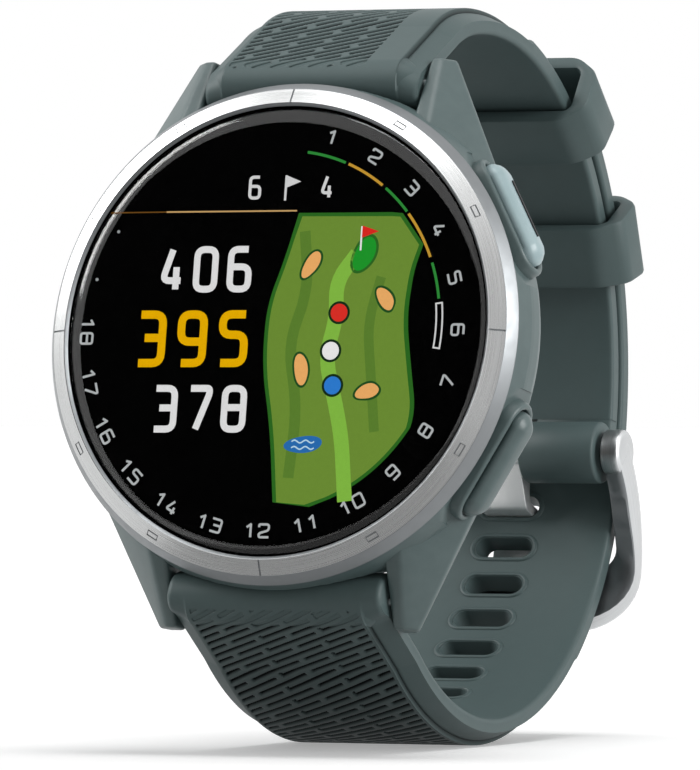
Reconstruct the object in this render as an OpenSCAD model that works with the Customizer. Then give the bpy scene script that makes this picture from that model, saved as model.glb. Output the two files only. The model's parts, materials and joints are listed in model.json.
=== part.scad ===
// Golf GPS watch on a closed 20 mm quick-release strap. Millimetres.
//
// The pieces are drawn in the watch's own frame: x towards 3 o'clock, y towards 12 o'clock,
// z out of the face, with the glass near z = 0. stand() then leans the watch back on its
// strap and puts the origin on the ground, under the middle of the whole watch.

/* [Watch head] */
// Radius of the glass
lens_r = 19.45; // [19:0.05:20]
// Width of the bezel round the glass
bezel_w = 2.4; // [2.3:0.05:2.7]
// How much lower the bezel's outer edge is than its inner edge
bezel_fall = 0.7; // [0.5:0.05:0.8]
// How far the plastic case stands out past the bezel
case_flare = 0.4; // [0.3:0.05:0.6]
// Height of the back cover's flat face, where the glass lies near 0
back_z = -12; // [-12.4:0.1:-11.8]
// Radius of the lit part of the display
display_r = 15.3; // [14:0.1:15.8]

/* [Lugs and bars] */
// How much wider the space between two lugs is than the strap
lug_play = 0.4; // [0.4:0.1:0.6]
// Distance of each strap bar outside the bezel
bar_out = 0.65; // [0.6:0.05:0.8]
// Height of the strap bars
bar_z = -6.3; // [-6.4:0.1:-6.2]
// Distance of the lug tips outside the bezel
lug_out = 3.05; // [3:0.05:3.4]

/* [Buttons] */
// Angle of the two buttons above and below 3 o'clock
button_angle = 29; // [28:0.5:30]
// Length of a button along the case
button_l = 10; // [9:0.1:10.2]
// Height of a button
button_h = 3; // [2.6:0.1:3.1]
// How far a button is pressed in
button_travel = 0.5; // [0.3:0.05:0.5]

/* [Strap] */
// Width of the strap
strap_w = 20; // [19.6:0.1:20]
// Inner radius of the upper strap's long bend
wrist_r = 29; // [28.8:0.1:29.2]
// Thickness of the strap's smooth part
band_t = 2; // [1.9:0.05:2]
// Thickness of the strap's raised, textured part
zone_t = 2.4; // [2.2:0.05:2.5]
// Width of the bevelled border on each side of the raised, textured part
zone_border = 1.8; // [1.5:0.1:3]
// Slots for the buckle's tongue
slot_count = 12; // [8:1:13]
// Distance between two slots
slot_pitch = 4.1; // [3.9:0.05:4.1]
// Length of a slot across the strap
slot_l = 5.8; // [5.4:0.1:6.4]
// Height of a slot along the strap
slot_h = 2.1; // [2.1:0.05:2.3]

/* [Buckle and keepers] */
// How far the buckle frame stands out past each side of the strap
buckle_side = 2.3; // [2.2:0.1:3]
// Width of a keeper along the strap
keeper_w = 6.4; // [5:0.1:7]
// How far a keeper stands out past each side of the strap
keeper_side = 2.1; // [1.8:0.1:2.5]

/* [Stance] */
// How far the watch leans back from upright
lean = 9.7; // [8:0.1:11]

/* [Hidden] */
$fn = 96;

slate = "#56625f";
button_blue = "#9db1b4";
steel = "#c9cbcc";
big = 60;             // side of the blocks that cut facets

// Heights in the head, from the bezel down
bezel_top = -0.5;
lens_top = bezel_top - 0.02;
lens_under = -1.25;
shelf_z = -1.45;      // the bezel's ledge under the glass
bezel_under = -2.4;
display_under = -2.1;
chassis_under = -2.9;
board_top = -3.4;
board_under = -4.2;
button_z = -5.4;
battery_top = -6.5;
battery_under = -9.9;
cover_top = -10.4;
cover_seat = -11.2;   // the case's back edge
head_top = -10.9;     // the ledge under a back screw's head

// Radii in the head
bezel_r = lens_r + bezel_w;
bezel_in = lens_r + 0.4;                // the sloping face's two edges
bezel_out = bezel_r - 0.67;
bezel_mark = lens_r + 1.05;             // the marks in that face
case_r = bezel_r + case_flare;
opening_r = lens_r - 0.85;              // inside the bezel's ledge
cavity_r = bezel_r - 3.25;
rabbet_r = cavity_r + 0.7;              // the chassis lies in a rabbet under the bezel
ledge_r = cavity_r - 1.2;               // inside the ledge that the back cover closes
cover_r = cavity_r - 0.2;
screw_at = cavity_r - 2.2;
display_edge = 0.9;   // dark edge of the display panel round its lit part
flex_w = 6;
battery_w = 19;
battery_l = 17;
battery_y = -9.8;     // the battery's edge towards 6 o'clock
running = 0.06;       // radial clearance of pins and shafts

// A lug's facets, [lean from the face's normal, direction round the dial, distance], each placed
// through a point that lies some way inside or outside the bezel at some height
function facet(lean, direction, out, z) = [lean, direction, (bezel_r + out) * sin(lean) + z * cos(lean)];
lug_gap = strap_w + lug_play;
bar_y = bezel_r + bar_out;
lug_y = bezel_r + lug_out;
lug_front = facet(28.1, 90, -2.19, -4);
lug_outer = facet(48.3, 33.8, -1.22, -4);
lug_side = facet(90, 21, -0.1, 0);
lug_under = facet(172, 90, 3.05, -9.02);
lug_corner = facet(90, 74, 5.55, 0);

// Buttons
pocket_r = bezel_r - 0.85;              // floor of a button's pocket
cap_r = bezel_r + 1.75;                 // a button's outer face
cap_under = pocket_r + button_travel + 0.4;
collar = 0.6;
stem_r = 0.8;
stem_end = cavity_r - 1.3;
clip_at = cavity_r - 0.5;
clip_r = 1.1;
seal_at = pocket_r - 0.58;

// Strap bars
bar_r = 0.75;
bar_bore = bar_r + running;
tip_r = 0.45;
tip_out = 1;                            // how far a tip reaches into its lug
release_travel = 1.2;
lever_x = 5.7;

// The strap's path in the plane x = 0, along its inner side: a pose is [y, z, heading], and a
// bend towards the wrist is [radius, turn].
wrist = [1, -24.5];                     // centre of the long bend
front_r = 13;                           // the tighter bend by the upper lug
front_from = 15;
front_to = 60;
barrel_angle = 263.5;
texture_end = 350;
layer_gap = 0.4;
zone_w = strap_w - 2 * zone_border;
tail_r = wrist_r + band_t + layer_gap;  // the free end lies outside the upper strap
tail_tip = 328;
front_centre = wrist + (wrist_r - front_r) * [cos(front_from), sin(front_from)];
upper_start = [front_centre[0] + front_r * cos(front_to),
               front_centre[1] + front_r * sin(front_to), front_to - 90];
upper_textured = [[front_r, front_to - front_from], [wrist_r, 360 + front_from - texture_end]];
upper_smooth = [[wrist_r, texture_end - barrel_angle]];
last_bend_r = 27;                       // the lower strap's bend up to its lug
lower_start = [wrist[0] + tail_r * cos(tail_tip), wrist[1] + tail_r * sin(tail_tip), tail_tip - 90];
lower_smooth = [[tail_r, tail_tip - 270], [80, 3], [24.5, 21], [30, 20]];
lower_textured = [[30, 29], [last_bend_r, 58]];
tube_r = 2.4;                           // the strap's rounded end round its bar
tongue_at = 39.5;                       // from the free end to the slot that holds the tongue
tongue_slot = 5;                        // slots between the free end and that one
lap = 0.6;                              // how far one bend's end lies inside the next
hair = 0.02;                            // how much slimmer every second bend is

// Buckle
buckle_bar = wrist + 27.9 * [cos(barrel_angle), sin(barrel_angle)];
barrel_r = 2.8;
pin_r = 0.8;
buckle_w = strap_w + 2 * buckle_side;
frame_centre = [-11.5, -44.5];
frame_r = 13.65;
plate_t = 2.05;
rail_t = 3.45;
rail_w = 1.9;
frame_end = 240;                        // angle of the frame's free end about its centre
rail_from = 273;                        // where the plate ends and the deeper rails begin
plate_from = -12.5;                     // y of the opening's end
tongue_w = 4.7;
tongue_t = 0.95;

// Keepers
keeper_upper_at = 326.8;
keeper_lower_at = 300.5;
keeper_in = wrist_r - 0.2;
keeper_out = tail_r + band_t + 0.2;
keeper_wall = 1.4;
keeper_l = strap_w + 2 * keeper_side;

// Stance: the lowest point lies on the strap's last bend
foot_centre = bend_centre(pose_after(lower_start, concat(lower_smooth, [lower_textured[0]])), last_bend_r);
foot_r = last_bend_r + zone_t;
ground = foot_r - foot_centre[0] * cos(lean) - foot_centre[1] * sin(lean);
middle = -27.45;

// ---- helpers ----

function bend_centre(p, r) = [p[0] + r * sin(p[2]), p[1] - r * cos(p[2])];
function after_bend(p, g) = let (c = bend_centre(p, g[0]), h = p[2] - g[1])
    [c[0] - g[0] * sin(h), c[1] + g[0] * cos(h), h];
function pose_after(p, bends, i = 0) = i >= len(bends) ? p
    : pose_after(after_bend(p, bends[i]), bends, i + 1);
function degrees_along(s, r) = s / r * 180 / PI;
function bend_length(g) = g[0] * g[1] * PI / 180;
function pose_at(p, bends, s, i = 0) = s <= bend_length(bends[i]) || i == len(bends) - 1
    ? after_bend(p, [bends[i][0], degrees_along(s, bends[i][0])])
    : pose_at(after_bend(p, bends[i]), bends, s - bend_length(bends[i]), i + 1);

// The watch's frame into the stance
module stand() {
    translate([0, middle, ground]) rotate([90 - lean, 0, 0]) children();
}

// A plane shape drawn in (y, z) and extruded along x
module side() {
    rotate([90, 0, 90]) children();
}

// The four lugs' or corners' places, from the one at 1 o'clock
module quarters() {
    for (a = [0, 1], b = [0, 1]) mirror([a, 0, 0]) mirror([0, b, 0]) children();
}

// A block that covers everything beyond a plane [lean, direction, distance]
module beyond(f) {
    rotate([0, f[0], f[1]]) translate([-big / 2, -big / 2, f[2]]) cube(big);
}

module ring(r_out, r_in, z0, z1) {
    translate([0, 0, z0]) difference() {
        cylinder(r = r_out, h = z1 - z0);
        translate([0, 0, -1]) cylinder(r = r_in, h = z1 - z0 + 2);
    }
}

module disc(r, z0, z1) {
    translate([0, 0, z0]) cylinder(r = r, h = z1 - z0);
}

module obround(l, w) {
    square([l - w, w], center = true);
    for (s = [-1, 1]) translate([s * (l - w) / 2, 0]) circle(d = w, $fn = 48);
}

// What is cut to round two corners at (+-x, y) of a plate that lies beyond y
module both_corners(x, y, r) {
    for (m = [0, 1]) mirror([m, 0]) difference() {
        translate([x - r, y - 1]) square(r + 1);
        translate([x - r, y + r]) circle(r = r + 0.03);
    }
}

// A shape drawn at a button: its local x runs along the case, y up, z outwards from the axis
module at_button(s) {
    rotate([0, 0, s * button_angle]) translate([0, 0, button_z]) rotate([90, 0, 90]) children();
}

// A closed coil about z: radius, wire radius, height and turns
module coil(r, wire, h, turns) {
    sides = 6;
    steps = turns * 12;
    rings = [for (i = [0 : steps]) let (a = 360 * turns * i / steps)
        [for (k = [0 : sides - 1]) let (b = 360 * k / sides)
            [(r + wire * cos(b)) * cos(a), (r + wire * cos(b)) * sin(a),
             wire + (h - 2 * wire) * i / steps + wire * sin(b)]]];
    faces = [for (i = [0 : steps - 1], k = [0 : sides - 1]) let (n = (k + 1) % sides)
        [i * sides + k, (i + 1) * sides + k, (i + 1) * sides + n, i * sides + n]];
    ends = [[for (k = [0 : sides - 1]) k], [for (k = [sides - 1 : -1 : 0]) steps * sides + k]];
    polyhedron([for (g = rings) each g], concat(faces, ends), convexity = 6);
}

// A stretch of strap from pose p. Every second bend is a hair slimmer, and each begins inside
// the one before it, so that their faces cross cleanly.
module band(p, bends, textured, first = 0) {
    for (i = [0 : len(bends) - 1]) {
        start = pose_after(p, [for (k = [0 : 1 : i - 1]) bends[k]]);
        r = bends[i][0];
        c = bend_centre(start, r);
        slim = (i + first) % 2 * hair;
        translate([c[0], c[1], 0]) rotate([0, 0, start[2] + 90 - bends[i][1]])
            rotate_extrude(angle = bends[i][1] + degrees_along(lap, r), $fn = 180) translate([r, 0])
                if (textured) zone_section(slim); else smooth_section(slim);
    }
}

// Smooth cross-section with softened edges: x out from the wrist, y across the strap
module smooth_section(slim) {
    w = strap_w / 2 - slim;
    t = band_t - slim;
    polygon([[slim, -w + 0.3], [0.3 + slim, -w], [t - 0.5, -w], [t, -w + 0.6],
             [t, w - 0.6], [t - 0.5, w], [0.3 + slim, w], [slim, w - 0.3]]);
}

// Textured cross-section: bevelled borders rise to a raised middle
module zone_section(slim) {
    w = strap_w / 2 - slim;
    z = zone_w / 2 - slim;
    t = zone_t - slim;
    polygon([[slim, -w + 0.3], [0.3 + slim, -w], [1.2 - slim, -w], [t - 0.4, -z - 0.1], [t, -z],
             [t, z], [t - 0.4, z + 0.1], [1.2 - slim, w], [0.3 + slim, w], [slim, w - 0.3]]);
}

// ---- the head ----

module case_body() {
    wall = [[bezel_r - 0.15, bezel_under], [case_r, -4.4], [case_r, -6.2], [case_r - 1.05, -8.8],
            [cover_r + 1.2, -11], [cover_r + 0.8, cover_seat], [cover_r, cover_seat],
            [cover_r, cover_top + 0.2], [ledge_r, cover_top + 0.2], [ledge_r, -9.4], [cavity_r, -8.4],
            [cavity_r, chassis_under], [rabbet_r, chassis_under], [rabbet_r, bezel_under]];
    color(slate) difference() {
        union() {
            difference() {
                union() {
                    rotate_extrude() polygon(wall);
                    quarters() lug();
                }
                for (s = [-1, 1]) at_button(s) button_valley();
                for (s = [-1, 1]) strap_hollow(s);
                disc(cavity_r, -8.4, 0);
                disc(rabbet_r, chassis_under, 0);
            }
            for (s = [-1, 1]) at_button(s) button_collar();
            for (a = [45 : 90 : 315]) rotate([0, 0, a]) screw_boss();
        }
        for (s = [-1, 1]) at_button(s) {
            translate([0, 0, pocket_r]) linear_extrude(9) obround(button_l + 0.3, button_h + 0.3);
            cylinder(r = stem_r + running, h = 30);
        }
        disc(ledge_r - 2.5, cover_seat - 1, 0);
        for (s = [-1, 1]) translate([0, s * bar_y, bar_z]) rotate([0, 90, 0])
            cylinder(r = tip_r + running, h = lug_gap + 2 * tip_out + 0.4, center = true);
    }
}

// The hollow between two lugs that takes the strap's round end
module strap_hollow(s) {
    r = tube_r + 0.25;
    translate([0, s * bar_y, bar_z]) rotate([0, 90, 0]) cylinder(r = r, h = lug_gap, center = true);
    translate([-lug_gap / 2, s * bar_y - r, -20]) cube([lug_gap, 2 * r, 20 + bar_z]);
}

// The lug at 1 o'clock: a block with its front, outer, side and under facets cut
module lug() {
    difference() {
        translate([lug_gap / 2, 12, -10.6]) cube([10, lug_y - 12, 10]);
        disc(cavity_r + 0.4, -20, 1);
        beyond(lug_front);
        beyond(lug_outer);
        beyond(lug_side);
        beyond(lug_under);
        disc(bezel_r, bezel_under, 1);
        beyond(lug_corner);
    }
}

// The hollow between the bezel's side and the button's collar
module button_valley() {
    translate([-button_l / 2 - 1.6, -button_h - 2.8, bezel_r - 0.75]) cube([button_l + 3.2, button_h + 6, 6]);
}

// The thin rim that a button sits in
module button_collar() {
    translate([0, 0, cavity_r + 0.2]) linear_extrude(case_r - cavity_r - 0.05)
        obround(button_l + 0.3 + 2 * collar, button_h + 0.3 + 2 * collar);
}

module screw_boss() {
    difference() {
        translate([screw_at - 1.5, -1.6, cover_top + 0.2]) cube([cavity_r - screw_at + 1.6, 3.2, 2.8]);
        translate([screw_at, 0, cover_top - 1]) cylinder(r = 0.6, h = 3.2);
    }
}

module bezel() {
    section = [[opening_r, bezel_under], [opening_r, shelf_z], [lens_r + 0.13, shelf_z],
               [lens_r + 0.13, bezel_top - 0.2], [bezel_in, bezel_top], [bezel_out, bezel_top - bezel_fall],
               [bezel_r, bezel_under + 0.1], [bezel_r, bezel_under]];
    slope = atan(bezel_fall / (bezel_out - bezel_in));
    color(steel) difference() {
        rotate_extrude($fn = 180) polygon(section);
        for (a = [0 : 30 : 330]) rotate([0, 0, a])
            translate([bezel_mark, 0, bezel_top - (bezel_mark - bezel_in) * tan(slope)]) rotate([0, slope, 0])
                cube(a % 90 == 0 ? [1.1, 0.14, 0.2] : [0.5, 1.1, 0.3], center = true);
    }
}

module lens() {
    edge = [[0, lens_under], [lens_r, lens_under], [lens_r, lens_top - 0.35], [lens_r - 0.4, lens_top - 0.18],
            [lens_r - 1.2, lens_top - 0.05], [lens_r - 2.2, lens_top], [0, lens_top]];
    color("#101214") rotate_extrude($fn = 180) polygon(edge);
}

module lens_gasket() {
    color("#151515") ring(lens_r - 0.05, opening_r + 0.1, shelf_z, lens_under);
}

module dial_ring() {
    color("#050505")
        ring(opening_r - 0.1, display_r + display_edge + 0.1, lens_under - 0.25, lens_under - 0.02);
}

module display_panel() {
    color("#0a0a0a") disc(display_r + display_edge, display_under, lens_under - 0.02);
}

// A ribbon from the display's edge, folded down to the board
module display_flex() {
    t = 0.12;
    fold_y = 0.7 - cavity_r;
    pad_y = fold_y + 1.5;
    color("#b5792c") translate([-flex_w / 2, 0, 0]) side() linear_extrude(flex_w) polygon([
        [fold_y + 2, display_under], [fold_y + 0.3, display_under], [fold_y, display_under - 0.3],
        [fold_y, board_top], [pad_y, board_top], [pad_y, board_top + t], [fold_y + t, board_top + t],
        [fold_y + t, display_under - 0.3], [fold_y + 0.3, display_under - t],
        [fold_y + 2, display_under - t]]);
}

module chassis() {
    color("#3a3d40") difference() {
        union() {
            disc(rabbet_r - 0.1, chassis_under, bezel_under - 0.02);
            disc(cavity_r - 1.5, chassis_under, display_under - 0.1);
            for (a = [30 : 60 : 330]) rotate([0, 0, a]) translate([14.5, 0, 0])
                disc(1.1, board_top, chassis_under + 0.1);
        }
        disc(6, chassis_under - 1, 0);
        for (a = [0 : 60 : 300]) rotate([0, 0, a]) translate([10.4, 0, 0]) disc(2.4, chassis_under - 1, 0);
        translate([-flex_w / 2 - 0.3, 0.2 - cavity_r, chassis_under - 1]) cube([flex_w + 0.6, 2.7, 3]);
    }
}

module gps_antenna() {
    color("#c8a24a") rotate([0, 0, 25]) rotate_extrude(angle = 130)
        translate([cavity_r - 1.8, board_top + 0.02]) square([0.9, chassis_under - board_top - 0.04]);
}

module main_board() {
    color("#1f5b3a") difference() {
        disc(cavity_r - 0.5, board_under, board_top);
        for (a = [45 : 90 : 315]) rotate([0, 0, a]) translate([screw_at, 0, 0]) disc(0.9, board_under - 1, 0);
    }
}

module shield_can() {
    color("#b9bcc0") difference() {
        translate([-8, -6, board_under - 1.7]) cube([16, 12, 1.7]);
        translate([-7.7, -5.7, board_under - 1.4]) cube([15.4, 11.4, 2]);
    }
}

module battery() {
    color("#9aa0a6") translate([-battery_w / 2, battery_y, battery_under])
        cube([battery_w, battery_l, battery_top - battery_under]);
}

module battery_tray() {
    wall = 0.6;
    gap = 0.1;
    color("#2e3033") translate([-battery_w / 2 - gap, battery_y - gap, battery_under]) difference() {
        translate([-wall, -wall, -0.4])
            cube([battery_w + 2 * gap + 2 * wall, battery_l + 2 * gap + 2 * wall, 2.2]);
        cube([battery_w + 2 * gap, battery_l + 2 * gap, 4]);
    }
}

// The vibration motor lies along x beside the battery
motor = [0, 11.2, -8.1];

module motor_case() {
    color("#8d9296") translate(motor) rotate([0, 90, 0]) difference() {
        translate([0, 0, -4]) cylinder(r = 2, h = 5.5);
        translate([0, 0, -3.6]) cylinder(r = 1.6, h = 4.7);
        cylinder(r = 0.4 + running, h = 6);
    }
}

module motor_rotor() {
    color("#c0a35e") translate(motor) rotate([0, 90, 0]) {
        translate([0, 0, -3.3]) cylinder(r = 1.4, h = 3.8);
        cylinder(r = 0.4, h = 4.6);
        translate([0, 0, 1.9]) intersection() {
            cylinder(r = 1.9, h = 2.6);
            translate([0, -2, 0]) cube([2, 4, 2.6]);
        }
    }
}

module back_cover() {
    outline = [[0, back_z], [cover_r - 4.4, back_z], [cover_r - 0.1, cover_seat - 0.1],
               [cover_r - 0.1, cover_seat + 0.25], [cover_r - 0.6, cover_seat + 0.25],
               [cover_r - 0.6, cover_top], [0, cover_top]];
    color("#3c4446") difference() {
        rotate_extrude() polygon(outline);
        for (a = [45 : 90 : 315]) rotate([0, 0, a]) translate([screw_at, 0, 0]) {
            cylinder(r = 0.7, h = 60, center = true);
            disc(1.3, -20, head_top);
        }
        translate([0, -7, back_z - 1]) linear_extrude(1.9) obround(10.2, 4.2);
    }
}

module back_gasket() {
    color("#202020") translate([0, 0, -10.62]) rotate_extrude() translate([cover_r - 0.3, 0])
        circle(r = 0.27, $fn = 24);
}

module back_screws() {
    color("#8a8d90") for (a = [45 : 90 : 315]) rotate([0, 0, a]) translate([screw_at, 0, 0]) difference() {
        union() {
            disc(1.2, head_top - 0.45, head_top);
            disc(0.58, head_top - 0.1, cover_top + 2);
        }
        translate([0, 0, head_top - 1]) linear_extrude(0.85) circle(r = 0.6, $fn = 6);
    }
}

module contact_block() {
    color("#17191a") difference() {
        translate([0, -7, back_z + 0.1]) linear_extrude(0.8) obround(10, 4);
        contact_places() disc(0.7, back_z - 1, 0);
    }
}

module contact_pins() {
    color("#d9b45b") contact_places() disc(0.68, back_z + 0.15, back_z + 0.9);
}

module contact_places() {
    for (x = [-3 : 2 : 3]) translate([x, -7, 0]) children();
}

// ---- one button's pieces, for side s = 1 above 3 o'clock and -1 below ----

module button_cap(s, tint) {
    color(tint) intersection() {
        at_button(s) difference() {
            translate([0, 0, cap_under]) linear_extrude(4) obround(button_l, button_h);
            translate([0, 0, cap_under - 1]) cylinder(r = stem_r, h = 2);
            translate([0, 0, cap_under - 1]) difference() {
                cylinder(r = 1.35, h = 1.8);
                cylinder(r = 1, h = 3);
            }
        }
        rotate_extrude($fn = 180) translate([cap_r - 4, button_z]) polygon([[0, -2], [3.3, -2], [4, -1],
            [4, 1], [3.3, 2], [0, 2]]);
    }
}

module button_stem(s) {
    color(steel) at_button(s) difference() {
        translate([0, 0, stem_end]) cylinder(r = stem_r, h = cap_under + 1 - stem_end);
        translate([0, 0, seal_at - 0.22]) ring(2, 0.5, 0, 0.45);
        translate([0, 0, clip_at]) ring(2, 0.5, 0, 0.4);
    }
}

module button_seal(s) {
    color("#1b1b1b") at_button(s) translate([0, 0, seal_at]) rotate_extrude() translate([0.66, 0])
        circle(r = 0.16, $fn = 24);
}

module button_clip(s) {
    color(steel) at_button(s) translate([0, 0, clip_at + 0.05]) difference() {
        ring(clip_r, 0.5, 0, 0.3);
        translate([0, -1, -1]) cube(2);
    }
}

module button_spring(s) {
    color("#a9adb0") at_button(s) translate([0, 0, pocket_r + 0.02])
        coil(1.17, 0.12, cap_under + 0.8 - pocket_r - 0.04, 3);
}

module tact_switch(s) {
    color("#2b2b2b") at_button(s) {
        translate([-1.5, -0.9, stem_end - 3.4]) cube([3, board_under - button_z + 0.9, 2.2]);
        translate([0, 0, stem_end - 2.3]) cylinder(r = 0.6, h = 2.3 - button_travel);
    }
}

// ---- strap bars, for side s = 1 at 12 o'clock and -1 at 6 o'clock ----

module at_bar(s) {
    translate([0, s * bar_y, bar_z]) mirror([0, s > 0 ? 0 : 1, 0]) rotate([0, 90, 0]) children();
}

module strap_bar(s) {
    color(steel) at_bar(s) difference() {
        union() {
            translate([0, 0, -strap_w / 2 + 0.3]) cylinder(r = bar_r, h = strap_w - 1.3);
            translate([0, 0, -lug_gap / 2 - tip_out]) cylinder(r = tip_r, h = 3);
        }
        translate([0, 0, -2]) cylinder(r = 0.56, h = 30);
        translate([0, -0.4, lever_x - release_travel - 0.45]) cube([2, 0.8, release_travel + 0.9]);
    }
}

module bar_spring(s) {
    color("#a9adb0") at_bar(s) translate([0, 0, -1.9]) coil(0.38, 0.1, 5.5, 6);
}

module release_pin(s) {
    color(steel) at_bar(s) {
        translate([0, 0, 3.7]) cylinder(r = 0.5, h = 5.4);
        translate([0, 0, 9]) cylinder(r = tip_r, h = lug_gap / 2 + tip_out - 9);
        translate([0, 0, lever_x]) rotate([0, 90, 0]) cylinder(r = 0.35, h = tube_r + 0.7);
    }
}

// ---- strap ----

module strap_upper() {
    tail = pose_after(upper_start, concat(upper_textured, upper_smooth));
    color(slate) side() difference() {
        union() {
            strap_root(upper_start, [bar_y, bar_z]);
            band(upper_start, upper_textured, true);
            band(pose_after(upper_start, upper_textured), upper_smooth, false, len(upper_textured));
            translate(buckle_bar) cylinder(r = barrel_r, h = strap_w - 0.1, center = true);
        }
        translate([bar_y, bar_z]) bar_holes();
        translate(buckle_bar) {
            cylinder(r = pin_r + running, h = 40, center = true);
            rotate([0, 0, tail[2]]) translate([-3.2, -5, -tongue_w / 2 - 0.3]) cube([8, 10, tongue_w + 0.6]);
        }
    }
}

// The strap's end at a lug: a round tube about the bar, faired into the band that ends at pose p
module strap_root(p, bar) {
    along = (bar[0] - p[0]) * cos(p[2]) + (bar[1] - p[1]) * sin(p[2]);
    out = (bar[1] - p[1]) * cos(p[2]) - (bar[0] - p[0]) * sin(p[2]);
    side = sign(along);
    translate([p[0], p[1], -strap_w / 2 + 0.15]) rotate([0, 0, p[2]]) linear_extrude(strap_w - 0.3)
        polygon([[along, out - tube_r + 0.25], [along, out + tube_r - 0.05], [-4 * side, 1.7],
                 [-3 * side, 0.4]]);
    translate(bar) cylinder(r = tube_r, h = strap_w - 0.1, center = true);
}

module bar_holes() {
    cylinder(r = bar_bore, h = 40, center = true);
    translate([-1.1, -4, 3.2]) cube([2.2, 4, 4.6]);
}

module strap_lower() {
    bends = concat(lower_smooth, lower_textured);
    color(slate) side() difference() {
        union() {
            band(lower_start, lower_smooth, false);
            band(pose_after(lower_start, lower_smooth), lower_textured, true, len(lower_smooth));
            strap_root(pose_after(lower_start, bends), [-bar_y, bar_z]);
        }
        translate([-bar_y, bar_z]) mirror([1, 0, 0]) bar_holes();
        for (i = [0 : slot_count - 1])
            strap_slot(pose_at(lower_start, bends, tongue_at + (i - tongue_slot) * slot_pitch));
        strap_tip(lower_start);
    }
}

module strap_slot(p) {
    translate([p[0], p[1], 0]) rotate([0, 0, p[2]]) rotate([-90, 0, 0]) translate([0, 0, -1])
        linear_extrude(5) rotate([0, 0, 90]) obround(slot_l, slot_h);
}

module strap_tip(p) {
    translate([p[0], p[1], 0]) rotate([0, 0, p[2]]) rotate([-90, 0, 0]) rotate([0, 0, -90])
        translate([0, 0, -6]) linear_extrude(10) both_corners(strap_w / 2, -0.6, 7);
}

// ---- keepers: a band round both layers of strap, bent with them ----

module keeper(at) {
    half = keeper_w / (wrist_r + band_t) * 90 / PI;
    w = keeper_l / 2;
    inner = keeper_in - keeper_wall;
    outer = keeper_out + keeper_wall;
    color(slate) side() translate([wrist[0], wrist[1], 0]) rotate([0, 0, at - half])
        rotate_extrude(angle = 2 * half, $fn = 180) difference() {
            polygon([[inner, -w + 2.4], [inner + 1.8, -w], [outer - 1.8, -w], [outer, -w + 2.2],
                     [outer, w - 2.2], [outer - 1.8, w], [inner + 1.8, w], [inner, w - 2.4]]);
            polygon([[keeper_in, -w + 1.9], [keeper_in + 0.5, -w + 1.6], [keeper_out - 0.5, -w + 1.6],
                     [keeper_out, -w + 1.9], [keeper_out, w - 1.9], [keeper_out - 0.5, w - 1.6],
                     [keeper_in + 0.5, w - 1.6], [keeper_in, w - 1.9]]);
        }
}

// ---- buckle ----

// A curved slab of the frame between two radii and two angles about its centre
module frame_slab(r_out, r_in, from, to, w) {
    translate([frame_centre[0], frame_centre[1], 0]) rotate([0, 0, from])
        rotate_extrude(angle = to - from, $fn = 180) translate([r_in, -w / 2]) square([r_out - r_in, w]);
}

module frame_opening() {
    w = buckle_w / 2 - rail_w;
    r = 2.5;
    translate([-w, plate_from + r]) square([2 * w, 30]);
    translate([-w + r, plate_from]) square([2 * w - 2 * r, 10]);
    for (s = [-1, 1]) translate([s * (w - r), plate_from + r]) circle(r = r);
}

module buckle_frame() {
    bar_angle = 360 + atan2(buckle_bar[1] - frame_centre[1], buckle_bar[0] - frame_centre[0]);
    color(steel) difference() {
        side() {
            frame_slab(frame_r, frame_r - plate_t, frame_end, rail_from + 3, buckle_w);
            frame_slab(frame_r - 0.03, frame_r - rail_t, rail_from, bar_angle + 2, buckle_w - 0.06);
            translate(buckle_bar) cylinder(r = 2.1, h = buckle_w, center = true);
        }
        translate([0, 0, -90]) linear_extrude(80)
            both_corners(buckle_w / 2, frame_centre[0] + frame_r * cos(frame_end), 5.5);
        translate([0, 0, -90]) linear_extrude(80) frame_opening();
        side() translate(buckle_bar) cylinder(r = pin_r + running, h = 40, center = true);
        side() translate([frame_centre[0], frame_centre[1], 0]) rotate([0, 0, 255])
            rotate_extrude(angle = 15) translate([frame_r - 1.15, -tongue_w / 2 - 0.3])
                square([3, tongue_w + 0.6]);
    }
}

module buckle_tongue() {
    b = buckle_bar;
    q = pose_at(lower_start, concat(lower_smooth, lower_textured), tongue_at);
    near = slot_h / 2 - 0.15;
    far = near - tongue_t;
    over = band_t + 0.35;
    profile = [b + [0.6, 1.2], b + [-1.2, 1], in_slot(q, 0.4, -2.2), in_slot(q, near, -1.6),
               in_slot(q, near, over), on_frame(262, frame_r - 0.9), on_frame(262, frame_r - 0.1),
               in_slot(q, near - 0.4, over + tongue_t), in_slot(q, far, over + 0.5), in_slot(q, far, -1),
               in_slot(q, far - 0.5, -1.4), b + [-0.4, -1.4], b + [1, -1]];
    color(steel) side() difference() {
        union() {
            translate([0, 0, -tongue_w / 2]) linear_extrude(tongue_w) polygon(profile);
            translate(b) cylinder(r = 1.55, h = tongue_w, center = true);
        }
        translate(b) cylinder(r = pin_r + running, h = 40, center = true);
    }
}

// A point given along the strap from slot q towards its lug, and outwards from the strap's inner side
function in_slot(q, along, out) =
    [q[0] + along * cos(q[2]) - out * sin(q[2]), q[1] + along * sin(q[2]) + out * cos(q[2])];
function on_frame(angle, r) = frame_centre + r * [cos(angle), sin(angle)];

module buckle_pin() {
    color(steel) side() translate(buckle_bar) cylinder(r = pin_r, h = buckle_w - 0.6, center = true);
}

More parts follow.
